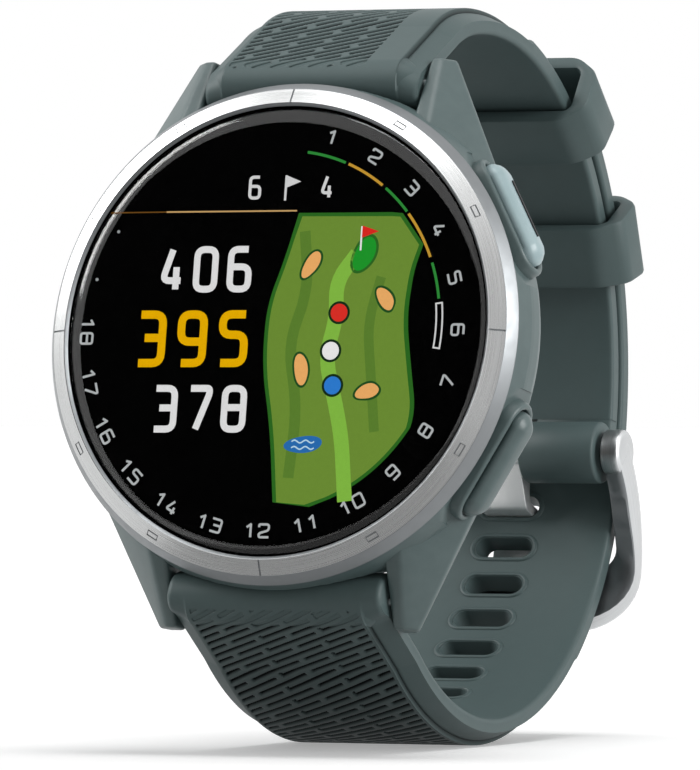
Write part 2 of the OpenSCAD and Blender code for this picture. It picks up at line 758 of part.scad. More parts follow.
stand() {
    case_body();
    bezel();
    lens();
    lens_gasket();
    dial_ring();
    display_panel();
    display_flex();
    chassis();
    gps_antenna();
    main_board();
    shield_can();
    battery();
    battery_tray();
    motor_case();
    motor_rotor();
    back_cover();
    back_gasket();
    back_screws();
    contact_block();
    contact_pins();
    button_cap(1, button_blue);  // upper_button_cap
    button_stem(1);  // upper_button_stem
    button_seal(1);  // upper_button_seal
    button_clip(1);  // upper_button_clip
    button_spring(1);  // upper_button_spring
    tact_switch(1);  // upper_switch
    button_cap(-1, slate);  // lower_button_cap
    button_stem(-1);  // lower_button_stem
    button_seal(-1);  // lower_button_seal
    button_clip(-1);  // lower_button_clip
    button_spring(-1);  // lower_button_spring
    tact_switch(-1);  // lower_switch
    strap_bar(1);  // upper_bar
    bar_spring(1);  // upper_bar_spring
    release_pin(1);  // upper_release_pin
    strap_bar(-1);  // lower_bar
    bar_spring(-1);  // lower_bar_spring
    release_pin(-1);  // lower_release_pin
    strap_upper();
    strap_lower();
    keeper(keeper_upper_at);  // keeper_upper
    keeper(keeper_lower_at);  // keeper_lower
    buckle_frame();
    buckle_tongue();
    buckle_pin();  // buckle_bar
}
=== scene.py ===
import json
import math

import bmesh
import bpy
import numpy as np
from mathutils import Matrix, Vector


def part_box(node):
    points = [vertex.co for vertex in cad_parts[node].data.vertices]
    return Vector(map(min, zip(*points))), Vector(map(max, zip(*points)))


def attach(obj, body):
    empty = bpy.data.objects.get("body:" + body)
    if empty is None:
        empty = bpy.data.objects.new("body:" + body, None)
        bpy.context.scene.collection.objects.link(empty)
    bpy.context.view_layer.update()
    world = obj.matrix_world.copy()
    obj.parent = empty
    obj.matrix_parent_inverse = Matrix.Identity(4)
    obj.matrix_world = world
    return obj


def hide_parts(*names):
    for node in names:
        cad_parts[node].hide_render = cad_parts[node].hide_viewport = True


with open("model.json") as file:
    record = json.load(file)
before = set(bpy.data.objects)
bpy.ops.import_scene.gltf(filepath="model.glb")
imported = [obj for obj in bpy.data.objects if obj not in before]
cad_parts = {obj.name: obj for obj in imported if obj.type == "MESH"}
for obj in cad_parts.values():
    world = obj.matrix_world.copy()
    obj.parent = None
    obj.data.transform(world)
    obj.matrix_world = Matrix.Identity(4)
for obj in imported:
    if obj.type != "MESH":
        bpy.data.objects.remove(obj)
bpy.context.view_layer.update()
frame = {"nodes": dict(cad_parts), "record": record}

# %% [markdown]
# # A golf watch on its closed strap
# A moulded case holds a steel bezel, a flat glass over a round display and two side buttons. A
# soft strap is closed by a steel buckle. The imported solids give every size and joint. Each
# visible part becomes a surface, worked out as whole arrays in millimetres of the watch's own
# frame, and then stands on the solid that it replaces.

# %% [markdown]
# ## The watch's own frame
# The watch leans back on its strap, so heights and radii are easier to write along its dial. The
# display panel's solid gives the centre, and the back's mount gives the direction of the dial's
# axis. Every point below is x across the dial, y up the dial and z out of it.

# %% Watch frame
MM = 0.001
PANEL_Z = -1.685      # height of the display panel's middle, in the watch's frame
BACK = next(m for m in frame["record"]["mounts"] if m["name"] == "back")
OUT = -np.array(BACK["axis"])
UP = np.array([0.0, -OUT[2] * np.sign(OUT[1]), abs(OUT[1])])
AXES = np.stack([(1.0, 0.0, 0.0), UP, OUT])
panel_low, panel_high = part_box("display_panel")
CENTRE = (np.array(panel_low) + np.array(panel_high)) / 2 - PANEL_Z * MM * OUT


def stand(points):
    """Row place in metres: the dial's centre plus x across, y up and z out, each times 0.001."""
    return CENTRE + np.asarray(points, float) @ AXES * MM


print("dial axis", np.round(OUT, 4), "centre", np.round(CENTRE, 5))

# %% [markdown]
# ## Grids
# A ring, a strap or a cap is a function of two parameters. It gives a grid of points, with one
# quad between each four neighbours. A direction that comes back to its start is wrapped. Each
# quad corner gets its distance along and across the grid in millimetres, which brushed finishes
# use as their map.

# %% Grid helpers
CUT_MOST = 0.49     # a rounded corner takes at most this share of a side


def shell(points, wrap_rows=False, wrap_cols=False, caps=False, finish=0, **marks):
    """Quads over a rows x cols grid; corner maps are the mean distances run along each way."""
    points = np.asarray(points, float)
    rows, cols = points.shape[:2]
    i, j = np.meshgrid(np.arange(rows - (not wrap_rows)), np.arange(cols - (not wrap_cols)), indexing="ij")
    at_row = np.stack([i, i + 1, i + 1, i], -1)
    at_col = np.stack([j, j, j + 1, j + 1], -1)
    faces = (at_row % rows * cols + at_col % cols).reshape(-1, 4).tolist()
    step_row = np.linalg.norm(np.roll(points, -1, 0) - points, axis=2).mean(1)
    step_col = np.linalg.norm(np.roll(points, -1, 1) - points, axis=2).mean(0)
    along, across = np.append(0, np.cumsum(step_row)), np.append(0, np.cumsum(step_col))
    corners = np.stack([along[at_row], across[at_col]], -1).reshape(-1, 2)
    finish = np.broadcast_to(finish, i.shape).ravel().tolist()
    if caps:
        faces += [list(range(cols)), list(range((rows - 1) * cols, rows * cols))]
        corners = np.vstack([corners, np.zeros((2 * cols, 2))])
        finish += finish[:1] * 2
    return {"points": points.reshape(-1, 3), "faces": faces, "map": corners, "finish": finish, **marks}


def flat_faced(points, faces, **marks):
    """A shell from any points and faces, with an empty map."""
    return {"points": points, "faces": faces, "map": np.zeros((sum(map(len, faces)), 2)),
            "finish": [0] * len(faces), **marks}


def between_rings(n, base=0):
    """Faces of a closed wall between two rings of n points, and the two ends."""
    k = np.arange(n)
    wall = np.stack([k, (k + 1) % n, (k + 1) % n + n, k + n], -1) + base
    return wall.tolist() + [(k[::-1] + base).tolist(), (k + n + base).tolist()]


def plate(outline, low, high, **marks):
    """Flat plate: a closed outline in x and y, repeated at two heights, with a wall between."""
    outline = np.asarray(outline, float)
    n = len(outline)
    points = np.vstack([np.c_[outline, np.full(n, low)], np.c_[outline, np.full(n, high)]])
    return flat_faced(points, between_rings(n), **marks)


def rounded(corners, radius, closed=False, steps=6):
    """Path through corners, each replaced by a parabola that touches both sides at the radius."""
    corners = np.asarray(corners, float)
    t = np.linspace(0, 1, steps)[:, None]
    path = []
    for k, here in enumerate(corners):
        if not closed and k in (0, len(corners) - 1):
            path.append(here[None])
            continue
        ways = [corners[k - 1] - here, corners[(k + 1) % len(corners)] - here]
        sides = [np.linalg.norm(way) for way in ways]
        cut = min(radius, *[CUT_MOST * side for side in sides])
        a, b = [here + way / side * cut for way, side in zip(ways, sides)]
        path.append((1 - t) ** 2 * a + 2 * t * (1 - t) * here + t ** 2 * b)
    return np.vstack(path)


def spoke(centre, r, degrees):
    """Centre plus r times (cos a, sin a), for one angle or for many."""
    a = np.radians(degrees)
    return np.asarray(centre, float) + r * np.stack([np.cos(a), np.sin(a)], -1)


def turned(profile, angles):
    """Revolve about the dial's axis: x = r cos a, y = r sin a, z from the profile's (r, z)."""
    r, z = np.asarray(profile, float).T
    return np.dstack([spoke((0, 0), r[:, None], np.c_[angles]), np.tile(z, (len(angles), 1))])


def turned_across(profile, centre, sides=48, ring=False):
    """Revolve about a bar across the watch: profile (x, r) about a centre (y, z)."""
    x, r = np.asarray(profile, float).T
    around = spoke(centre, r[:, None], np.c_[np.arange(0, 360, 360 / sides)])
    return shell(np.dstack([np.tile(x, (sides, 1)), around]), True, ring)


# %% Making a piece
WELD, SLIVER = 5e-7, 1e-8     # metres: nearer points are merged, and shorter edges are removed
EDGE_ANGLE = math.radians(20)     # edges that bend more than this get the bevel


def finish_mesh(mesh, merge=True, bevel=None):
    """Merges a mesh's seams, turns its faces outwards and rounds its edges by a bevel in mm."""
    work = bmesh.new()
    work.from_mesh(mesh)
    if merge:
        bmesh.ops.remove_doubles(work, verts=work.verts, dist=WELD)
        bmesh.ops.dissolve_degenerate(work, edges=work.edges, dist=SLIVER)
    bmesh.ops.recalc_face_normals(work, faces=work.faces)
    if bevel:
        edges = [e for e in work.edges if e.is_manifold and e.calc_face_angle() > EDGE_ANGLE]
        bmesh.ops.bevel(work, geom=edges, offset=bevel * MM, offset_type="OFFSET", segments=3,
                        profile=0.5, affect="EDGES", clamp_overlap=True)
        bmesh.ops.recalc_face_normals(work, faces=work.faces)
    work.to_mesh(mesh)
    work.free()


def placed(name, data):
    """A new object of a mesh, lamp or camera, put into the scene."""
    made = bpy.data.objects.new(name, data)
    bpy.context.scene.collection.objects.link(made)
    return made


def piece(name, shells, body, slot, finishes, replaced=(), sharp=30, merge=True, bevel=None):
    """Stacks shells into one mesh, finishes it and seats it on a body."""
    mesh = bpy.data.meshes.new(name)
    first = np.cumsum([0] + [len(s["points"]) for s in shells])
    faces = [[v + int(base) for v in face] for s, base in zip(shells, first) for face in s["faces"]]
    mesh.from_pydata(stand(np.vstack([s["points"] for s in shells])).tolist(), [], faces)
    layer = mesh.uv_layers.new(name="mm")
    layer.uv.foreach_set("vector", np.vstack([s["map"] for s in shells]).astype(np.float32).ravel())
    mesh.polygons.foreach_set("material_index", sum([s["finish"] for s in shells], []))
    for key in ("colour", "shade"):
        if key in shells[0]:
            values = np.vstack([np.broadcast_to(s.get(key, 0.0), (len(s["points"]), 3)) for s in shells])
            tint = mesh.attributes.new(key, "FLOAT_VECTOR", "POINT")
            tint.data.foreach_set("vector", values.astype(np.float32).ravel())
    finish_mesh(mesh, merge, bevel)
    mesh.shade_smooth()
    mesh.set_sharp_from_angle(angle=math.radians(sharp))
    made = placed(name, mesh)
    for finish in finishes:
        mesh.materials.append(finish)
    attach(made, body)
    if replaced:
        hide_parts(*replaced)
    print(name, len(mesh.polygons), "faces")
    return made


# %% [markdown]
# ## Finishes
# Each finish starts from what the real surface is and how it was made. The helpers turn a hex
# colour into the linear values that a shader expects and add a node with its inputs at once.

# %% Material helpers
def linear(colour):
    """sRGB to linear light: ((c + 0.055) / 1.055) to the power 2.4, or c / 12.92 when dark."""
    c = np.array([int(colour[k:k + 2], 16) for k in (1, 3, 5)]) / 255
    return tuple(np.where(c > 0.04045, ((c + 0.055) / 1.055) ** 2.4, c / 12.92)) + (1.0,)


def material(name, colour, roughness, metallic=0.0):
    """A new material whose Principled shader has a plain colour, roughness and metallic."""
    made = bpy.data.materials.new(name)
    made.use_nodes = True
    made.diffuse_color = linear(colour)
    shader = made.node_tree.nodes["Principled BSDF"]
    for key, value in [("Base Color", linear(colour)), ("Roughness", roughness), ("Metallic", metallic)]:
        shader.inputs[key].default_value = value
    return made, shader


def add(made, kind, inputs=None, **settings):
    """Adds a node, sets its settings, and fills each named input with a value or a link."""
    tree = made.node_tree
    node = tree.nodes.new(kind)
    for key, value in settings.items():
        setattr(node, key, value)
    for key, value in (inputs or {}).items():
        if isinstance(value, bpy.types.NodeSocket):
            tree.links.new(value, node.inputs[key])
        else:
            node.inputs[key].default_value = value
    return node


def link(made, out, into):
    """Joins an output to an input."""
    made.node_tree.links.new(out, into)


def place_of(made, grain):
    """Object coordinates in units of the grain's size: metres over the grain in mm times 0.001."""
    coords = add(made, "ShaderNodeTexCoord")
    scale = (1 / (grain * MM),) * 3
    return add(made, "ShaderNodeMapping", {"Vector": coords.outputs["Object"], "Scale": scale}).outputs[0]


def map_of(made, along, across):
    """The piece's own map in mm, divided by the pattern's size along and across."""
    coords = add(made, "ShaderNodeUVMap", uv_map="mm")
    scale = (1 / along, 1 / across, 1)
    return add(made, "ShaderNodeMapping", {"Vector": coords.outputs["UV"], "Scale": scale}).outputs[0]


def noise_at(made, where, detail):
    """Noise of size 1 in the units of the given place."""
    return add(made, "ShaderNodeTexNoise", {"Vector": where, "Scale": 1.0, "Detail": detail}).outputs["Fac"]


def spread(made, value, low, high):
    """Carries a value of 0 to 1 to the span from low to high."""
    return add(made, "ShaderNodeMapRange", {"Value": value, "To Min": low, "To Max": high}).outputs["Result"]


def two_tone(made, shader, value, colour, other, low=0.0, high=1.0):
    """Base colour that goes from one colour to the other as the value goes from low to high."""
    ramp = add(made, "ShaderNodeValToRGB", {"Fac": value})
    for element, position, tint in zip(ramp.color_ramp.elements, (low, high), (colour, other)):
        element.position = position
        element.color = linear(tint)
    link(made, ramp.outputs["Color"], shader.inputs["Base Color"])


def relief(made, shader, height, depth):
    """Lifts the surface by a height of 0 to 1 times a depth in mm."""
    bump = add(made, "ShaderNodeBump", {"Height": height, "Distance": depth * MM, "Strength": 1.0})
    link(made, bump.outputs["Normal"], shader.inputs["Normal"])


# %% [markdown]
# ### Moulded nylon and silicone
# The case is glass-filled nylon from a finely sparked mould: a satin grey-green with a grain of
# about 0.2 mm. The strap is silicone of the same colour. Its grooves get painted shade: a shade
# attribute worked out with the relief darkens their colour and takes their shine.

# %% Moulded finishes
def moulded(name, colour, other, roughness, grain, depth):
    """Satin polymer: two close colours mottled over 6 grains, and a fine relief."""
    made, shader = material(name, colour, roughness)
    two_tone(made, shader, noise_at(made, place_of(made, grain * 6), 3.0), colour, other, 0.3, 0.7)
    relief(made, shader, noise_at(made, place_of(made, grain), 2.0), depth)
    return made


slate_nylon = moulded("moulded_slate_nylon", "#465555", "#4b5a5a", 0.4, 0.2, 0.004)
NYLON = ("slate_plastic", [slate_nylon])     # the slot and finish of every slate piece
blue_nylon = moulded("moulded_pale_blue_nylon", "#8b9fa2", "#92a5a8", 0.34, 0.2, 0.003)
black_nylon = moulded("moulded_black_nylon", "#1c1e1f", "#222425", 0.5, 0.2, 0.003)
black_rubber = moulded("pressed_black_silicone_rubber_and_slit_shade", "#151617", "#1b1c1d", 0.62, 0.15, 0.002)
dark_plastic = moulded("moulded_dark_polycarbonate", "#2a2e30", "#303537", 0.4, 0.25, 0.003)


def silicone(name, colour, groove):
    """Silicone whose colour falls to the painted shade's colour where the shade attribute nears 1."""
    made, shader = material(name, colour, 0.5)
    shade = add(made, "ShaderNodeAttribute", attribute_name="shade")
    depth = add(made, "ShaderNodeSeparateXYZ", {"Vector": shade.outputs["Vector"]}).outputs["X"]
    cloud = noise_at(made, place_of(made, 1.4), 3.0)
    cloud = add(made, "ShaderNodeMath", {0: cloud, 1: 0.12}, operation="MULTIPLY").outputs[0]
    both = add(made, "ShaderNodeMath", {0: depth, 1: cloud}, operation="ADD", use_clamp=True).outputs[0]
    two_tone(made, shader, both, colour, groove)
    # Painted shade: where the shade attribute rises, the shine is taken away too.
    link(made, spread(made, depth, 0.3, 0.04), shader.inputs["Specular IOR Level"])
    relief(made, shader, noise_at(made, place_of(made, 0.25), 2.0), 0.004)
    return made


# 04090a is the colour of the painted shade in the grooves.
slate_silicone = silicone("moulded_slate_silicone", "#465555", "#04090a")
SILICONE = ("strap_silicone", [slate_silicone])

# %% [markdown]
# ### Steel
# The bezel is stainless steel, brushed in circles. Fine scratches are noise that is long along
# the map and short across it. They roughen the reflection, tilt it slightly and spread it across
# their own direction. Real brush marks are near 0.02 mm, drawn at 0.06 mm so that they show.

# %% Steel finishes
def brushed(name, colour, other, roughness):
    """Brushed steel: noise 12 mm long and 0.06 mm wide sets colour, roughness and a slight relief."""
    made, shader = material(name, colour, roughness, metallic=1.0)
    noise = noise_at(made, map_of(made, 12, 0.06), 4.0)
    two_tone(made, shader, noise, colour, other, 0.3, 0.7)
    link(made, spread(made, noise, roughness * 0.8, roughness * 1.25), shader.inputs["Roughness"])
    relief(made, shader, noise, 0.004)
    shader.inputs["Anisotropic"].default_value = 0.5
    tangent = add(made, "ShaderNodeTangent", direction_type="UV_MAP", uv_map="mm")
    link(made, tangent.outputs["Tangent"], shader.inputs["Tangent"])
    return made


bezel_steel = brushed("circular_brushed_stainless_steel", "#b9baba", "#cfd0d0", 0.27)
buckle_steel = brushed("straight_brushed_stainless_steel", "#bdbfc0", "#d4d6d7", 0.3)


def polished(name, colour, roughness, grain):
    """Polished metal: a faint cloud of noise varies its roughness."""
    made, shader = material(name, colour, roughness, metallic=1.0)
    noise = noise_at(made, place_of(made, grain), 2.0)
    link(made, spread(made, noise, roughness * 0.7, roughness * 1.4), shader.inputs["Roughness"])
    return made


bright_steel = polished("polished_stainless_steel", "#cfd1d2", 0.14, 2.0)
# Darker than the other steels: this colour paints the shade on the bezel's bevels and the buckle's inner
# walls.
shaded_satin_steel = polished("satin_stainless_steel_painted_shade", "#85888a", 0.4, 1.0)
# Near white, lighter than steel: painted light on the tongue, which sits in the strap's shade.
painted_light_tongue_steel = polished("bead_blasted_steel_painted_light", "#f8f8f8", 0.5, 0.2)
tinned_steel = polished("tinned_spring_steel", "#b6b8b8", 0.3, 1.0)
copper_film = polished("rolled_copper_film", "#b5734a", 0.35, 1.5)
gold_plate = polished("gold_plated_brass", "#d8b25a", 0.22, 0.8)
tungsten = polished("sintered_tungsten_alloy", "#7d7f82", 0.45, 0.5)
battery_foil = polished("laminated_aluminium_foil", "#b9bcc0", 0.4, 3.0)
engraved = moulded("etched_steel", "#7b7e80", "#848789", 0.6, 0.2, 0.001)
board_laminate = moulded("glass_epoxy_laminate", "#1f4a35", "#27553e", 0.45, 0.4, 0.004)

# %% [markdown]
# ### Glass and the lit display
# The glass is clear mineral glass over a black layer. It passes light straight on and reflects
# by its index of 1.5, so it is a Fresnel mix of clear and glossy. Light leaves through the far
# face without bending, so there the index is turned over, which cancels what the node does for
# a back face. Each printed shape carries its colour as an attribute and glows with it.

# %% Glass and display finishes
GLASS_INDEX = 1.5


def clear_glass():
    """Mineral glass: on both faces the Fresnel share is reflected, and the rest passes."""
    made, shader = material("polished_mineral_glass", "#ffffff", 0.02)
    nodes = made.node_tree.nodes
    nodes.remove(shader)
    rough = spread(made, noise_at(made, place_of(made, 8.0), 1.0), 0.01, 0.03)
    clear = add(made, "ShaderNodeBsdfTransparent", {"Color": (0.97, 0.97, 0.97, 1)})
    gloss = add(made, "ShaderNodeBsdfGlossy", {"Roughness": rough})
    side = add(made, "ShaderNodeNewGeometry")
    index = spread(made, side.outputs["Backfacing"], GLASS_INDEX, 1 / GLASS_INDEX)
    share = add(made, "ShaderNodeFresnel", {"IOR": index})
    mix = add(made, "ShaderNodeMixShader", {0: share.outputs["Fac"], 1: clear.outputs["BSDF"],
                                            2: gloss.outputs["BSDF"]})
    link(made, mix.outputs["Shader"], nodes["Material Output"].inputs["Surface"])
    return made


glass = clear_glass()
# This black also paints the shadow on the bezel's upright step beside the glass.
black_layer, black_shader = material("black_print_and_painted_shadow", "#050505", 0.6)
black_shader.inputs["Specular IOR Level"].default_value = 0.0
black_cloud = noise_at(black_layer, place_of(black_layer, 0.8), 3.0)
two_tone(black_layer, black_shader, black_cloud, "#040404", "#070707", 0.3, 0.7)


def lit_print():
    """Print that glows: the colour attribute is emitted, a few hundredths up or down by noise. The display's
    print is lit from behind; the ring's print glows as painted light.
    """
    made, shader = material("lit_display_print_and_painted_ring_light", "#050505", 0.6)
    shader.inputs["Specular IOR Level"].default_value = 0.0
    tint = add(made, "ShaderNodeAttribute", attribute_name="colour")
    link(made, tint.outputs["Vector"], shader.inputs["Emission Color"])
    level = spread(made, noise_at(made, place_of(made, 0.3), 1.0), 0.94, 1.04)
    link(made, level, shader.inputs["Emission Strength"])
    return made


display_and_painted_ring_light = lit_print()

# %% [markdown]
# ## The bezel
# The bezel is one turned steel ring. Its brushed face slopes down outwards between two satin
# bevels, both darker with painted shade, and is engraved with small frames and four fine lines.
# Its upright step beside the glass is black, a painted shadow. Both parameters get extra
# stations where an engraving starts and ends, and the face is pushed in wherever a station lies
# in an engraved line.

# %% Bezel
FACE_IN = np.array([19.87, -0.5])       # radius and height of the face's inner edge
FACE_OUT = np.array([21.16, -1.19])     # and of its outer edge
ENGRAVED = 0.09
BRUSHED, BRIGHT, ETCHED, SHADED_SATIN, PAINTED_SHADOW = range(5)


def bezel_stations():
    """Angles in degrees and face shares (0 inner edge, 1 outer edge) with close pairs at each line."""
    angles = [np.arange(0, 360, 1.0)]
    for a in range(0, 360, 30):
        for e in [0.16] if a % 90 == 0 else [1.35, 1.5]:
            angles.append(a + np.array([-e - 0.06, -e, e, e + 0.06]))
    shares = np.r_[np.linspace(0, 1, 9), 0.32, 0.34, 0.39, 0.41, 0.63, 0.65, 0.7, 0.72, 0.06, 0.94]
    return np.unique(np.round(np.concatenate(angles) % 360, 4)), np.unique(shares)


def engraving(angle, share):
    """1 inside a line: the outline of a small frame at each hour, or a thin line at each quarter."""
    off = (angle + 15) % 30 - 15
    quarter = np.round((angle - off) / 30).astype(int) % 3 == 0
    inside = (np.abs(off) < 1.53) & (share > 0.33) & (share < 0.71)
    core = (np.abs(off) < 1.36) & (share > 0.4) & (share < 0.64)
    line = (np.abs(off) < 0.18) & (share > 0.05) & (share < 0.95)
    return np.where(quarter, line, inside & ~core)


angles, shares = bezel_stations()
face = FACE_IN + shares[:, None] * (FACE_OUT - FACE_IN)
inner = [[18.7, -2.4], [18.7, -1.45], [19.58, -1.45], [19.58, -0.74], [19.61, -0.69], [19.82, -0.51]]
outer = [[21.2, -1.22], [21.82, -2.26], [21.85, -2.33], [21.85, -2.4]]
bezel_grid = turned(np.vstack([inner, face, outer]), angles)
cut = engraving(*np.meshgrid(angles, shares, indexing="ij"))
bezel_grid[:, len(inner):len(inner) + len(shares), 2] -= ENGRAVED * cut
bezel_finish = np.full((len(angles), bezel_grid.shape[1]), BRIGHT)
face_cols = slice(len(inner), len(inner) + len(shares) - 1)
deep = cut[:, :-1] | cut[:, 1:]
bezel_finish[:, face_cols] = np.where(deep | np.roll(deep, -1, 0), ETCHED, BRUSHED)
bezel_finish[:, 2] = PAINTED_SHADOW          # the upright step beside the glass: black as painted shadow of the gasket
bezel_finish[:, 3:5] = SHADED_SATIN        # the inner bevel, and next the outer one, both in painted shade
bezel_finish[:, face_cols.stop:-1] = SHADED_SATIN
piece("bezel_ring", [shell(bezel_grid, True, True, finish=bezel_finish)], "watch", "brushed_steel",
      [bezel_steel, bright_steel, engraved, shaded_satin_steel, black_layer], ["bezel"], sharp=22)

# %% [markdown]
# ## Glass and the layer under it
# The glass is a flat disc whose rim falls away gently, so it catches light all round. A black
# layer lies just under it.

# %% Glass
ROUND = np.arange(0, 360, 2.0)
glass_over = [[0, -0.52], [14, -0.52], [17.25, -0.52], [17.8, -0.54], [18.3, -0.58], [18.75, -0.64],
              [19.1, -0.72], [19.35, -0.82], [19.45, -0.92]]
glass_under = [[19.4, -0.98], [19.1, -0.8], [18.6, -0.7], [18.2, -0.65], [17.25, -0.6], [0, -0.6]]
piece("cover_glass", [shell(turned(glass_over + glass_under, ROUND), True)], "watch", "dark_glass", [glass],
      ["lens"], sharp=60)
layer_line = [[0, -0.66], [17.6, -0.66], [18.3, -0.72], [18.8, -0.8], [19.3, -0.95], [19.5, -1.1],
              [19.5, -1.3], [0, -1.3]]
piece("black_layer", [shell(turned(layer_line, ROUND), True)], "watch", "black_plastic", [black_layer],
      ["dial_ring"], sharp=40)

# %% [markdown]
# ## What the display shows
# The dial shows three distances in technical numerals beside a map of one hole of a golf course,
# inside a ring that numbers the holes from 1 to 18. Each numeral is a path with rounded corners
# and a constant stroke, so one function sweeps a flat ribbon along any path.

# %% Ribbons and numerals
PRINT_LOW, PRINT_HIGH = -0.67, -0.64
LEVEL = 0.004         # each later layer of print lies this much nearer the glass
MITRE_LEAST = 0.4     # keeps the outer point of a sharp bend within 2.5 half widths
TURN_R = 0.17         # rounding of a numeral's corners, as a share of its height
prints = []


def ribbon(path, width, colour, level=0, closed=False):
    """Flat band of constant width: the path plus and minus half the width along its normal."""
    path = np.asarray(path, float)
    ahead = np.roll(path, -1, 0) - path
    behind = path - np.roll(path, 1, 0)
    if not closed:
        ahead[-1], behind[0] = behind[-1], ahead[0]
    unit = [d / np.maximum(np.linalg.norm(d, axis=1, keepdims=True), 1e-9) for d in (ahead, behind)]
    mean = unit[0] + unit[1]
    mean /= np.linalg.norm(mean, axis=1, keepdims=True)
    mitre = 1 / np.maximum((mean * unit[0]).sum(1, keepdims=True), MITRE_LEAST)
    normal = np.c_[-mean[:, 1], mean[:, 0]] * mitre * width / 2
    top = PRINT_HIGH + level * LEVEL
    sides = [(-1, PRINT_LOW), (1, PRINT_LOW), (1, top), (-1, top)]
    grid = np.stack([np.c_[path + s * normal, np.full(len(path), z)] for s, z in sides], 1)
    prints.append(shell(grid, closed, True, caps=not closed, colour=linear(colour)[:3]))


def patch(outline, colour, level=0):
    """A filled shape of the display."""
    prints.append(plate(outline, PRINT_LOW, PRINT_HIGH + level * LEVEL, colour=linear(colour)[:3]))


def dot(x, y, r, colour, level=0):
    """A filled circle: centre plus r at 32 angles."""
    patch(spoke((x, y), r, np.arange(0, 360, 11.25)), colour, level)


# Numerals on a unit box, as paths between stroke centres; True closes a path
NUMERALS = {
    "0": [([(0, 0), (1, 0), (1, 1), (0, 1)], True)],
    "1": [([(0.2, 0.78), (0.62, 1), (0.62, 0)], False)],
    "2": [([(0, 0.78), (0, 1), (1, 1), (1, 0.54), (0, 0.3), (0, 0), (1, 0)], False)],
    "3": [([(0, 1), (1, 1), (1, 0), (0, 0)], False), ([(0.22, 0.52), (1, 0.52)], False)],
    "4": [([(0.5, 1), (0, 0.22), (1, 0.22)], False), ([(0.74, 0.56), (0.74, 0)], False)],
    "5": [([(1, 1), (0, 1), (0, 0.58), (1, 0.58), (1, 0), (0, 0)], False)],
    "6": [([(0.92, 1), (0, 1), (0, 0), (1, 0), (1, 0.56), (0, 0.56)], False)],
    "7": [([(0, 1), (1, 1), (1, 0.86), (0.36, 0)], False)],
    "8": [([(0, 0), (1, 0), (1, 1), (0, 1)], True), ([(0, 0.53), (1, 0.53)], False)],
    "9": [([(0.08, 0), (1, 0), (1, 1), (0, 1), (0, 0.44), (1, 0.44)], False)],
}


def write(text, x, y, height, colour, turn=0.0, wide=0.57, pitch=0.785, stroke=0.145, centred=False):
    """Numerals from the lower left corner (x, y), or centred on it, then turned about it."""
    thick = stroke * height
    span = (len(text) - 1) * pitch * height + wide * height
    a = math.radians(turn)
    rotate = np.array([[math.cos(a), math.sin(a)], [-math.sin(a), math.cos(a)]])
    for k, letter in enumerate(text):
        for corners, closed in NUMERALS[letter]:
            path = rounded(corners, 0.001, closed, 2) if letter == "1" else np.array(corners, float)
            path = path * (wide * height - thick, height - thick) + thick / 2
            if letter != "1":
                path = rounded(path, TURN_R * height, closed)
            path[:, 0] += k * pitch * height
            if centred:
                path -= (span / 2, height / 2)
            ribbon(path @ rotate + (x, y), thick, colour, level=1, closed=closed)


# %% Distances, hole ring and arcs
HEADER, HEADER_SIZE, PALE, LIGHT = 11.4, 2.1, "#d8d8d8", "#e6e6e6"
write("406", -11.25, 3.3, 4.06, LIGHT)
write("395", -13.05, -3.2, 4.95, "#ecb200")
write("378", -11.05, -8.9, 4.15, LIGHT)
for digit, x in (("6", -3.4), ("4", 3.35)):
    write(digit, x, HEADER, HEADER_SIZE, PALE, stroke=0.13)

HOLE_R = 17.37
RING = (-0.4, 0.0)     # the printed ring's centre beside the glass's
HOLE_STEP = 15         # degrees between holes
# The hole numbers and the two dots are print on the ring round the display, yet they glow like the display:
# painted light.
for hole in range(1, 19):
    turn = -HOLE_STEP * hole + (180 if hole > 6 else 0)
    write(str(hole), *spoke(RING, HOLE_R, 90 - HOLE_STEP * hole), 1.3, "#b4b8b9", turn=turn, wide=0.85,
          pitch=1.04, stroke=0.15, centred=True)
for a in (165, 150):
    dot(*spoke(RING, HOLE_R, a), 0.14, "#9a9ea0", 1)


def clock_arc(r, start, end):
    """Points at radius r from one clock angle to another, in degrees clockwise from 12."""
    return spoke(RING, r, 90 - np.linspace(start, end, 24)) + ARC_SHIFT


ARC_R, ARC_SHIFT, SEGMENT_HALF = 15.33, (0.3, 0.3), 0.28
GREEN, GOLD = "#2f8b3a", "#c99a35"
for start, end, tint in [(7.6, 21.6, GREEN), (22.8, 37, GOLD), (38.5, 49.5, GREEN), (50.5, 67, GOLD),
                         (69, 81, GREEN)]:
    ribbon(clock_arc(ARC_R, start, end), 0.24, tint)
segment = [clock_arc(ARC_R - SEGMENT_HALF, 82.5, 97), clock_arc(ARC_R + SEGMENT_HALF, 97, 82.5)]
ribbon(np.vstack(segment), 0.14, PALE, closed=True)
ribbon([(-16.3, 10.35), (-11, 10.38)], 0.1, "#6e4a1c")
ribbon([(-11, 10.38), (1.3, 10.4)], 0.13, "#c9a26a")
ribbon([(0.1, 11.3), (0.1, 13.5)], 0.2, PALE)
patch([(0.1, 13.5), (1.5, 12.95), (0.1, 12.4)], PALE, 1)

# %% [markdown]
# ### The map of a hole
# The map is a design of our own in the usual colours of such displays: rough ground in two
# greens, a lighter strip of fairway, a green with its flag, sand bunkers, a little water and
# three round markers.

# %% Course map
def blob(x, y, long, short, turn, wave, phase):
    """Egg-like outline: an ellipse whose radius swells by a wave twice and three times round."""
    t = np.linspace(0, 2 * np.pi, 49)[:-1]
    r = 1 + wave * np.cos(2 * t + phase) + 0.6 * wave * np.sin(3 * t - phase)
    a = math.radians(turn)
    u, v = long * r * np.cos(t), short * r * np.sin(t)
    return np.c_[x + u * math.cos(a) - v * math.sin(a), y + u * math.sin(a) + v * math.cos(a)]


def in_ring(parts, limit):
    """Joins the parts of an outline and draws points beyond the ring's inner radius in to it."""
    outline = np.vstack(parts)
    r = np.hypot(outline[:, 0] - RING[0], outline[:, 1])
    pull = np.minimum(1, limit / r)[:, None]
    return (outline - RING) * pull + RING


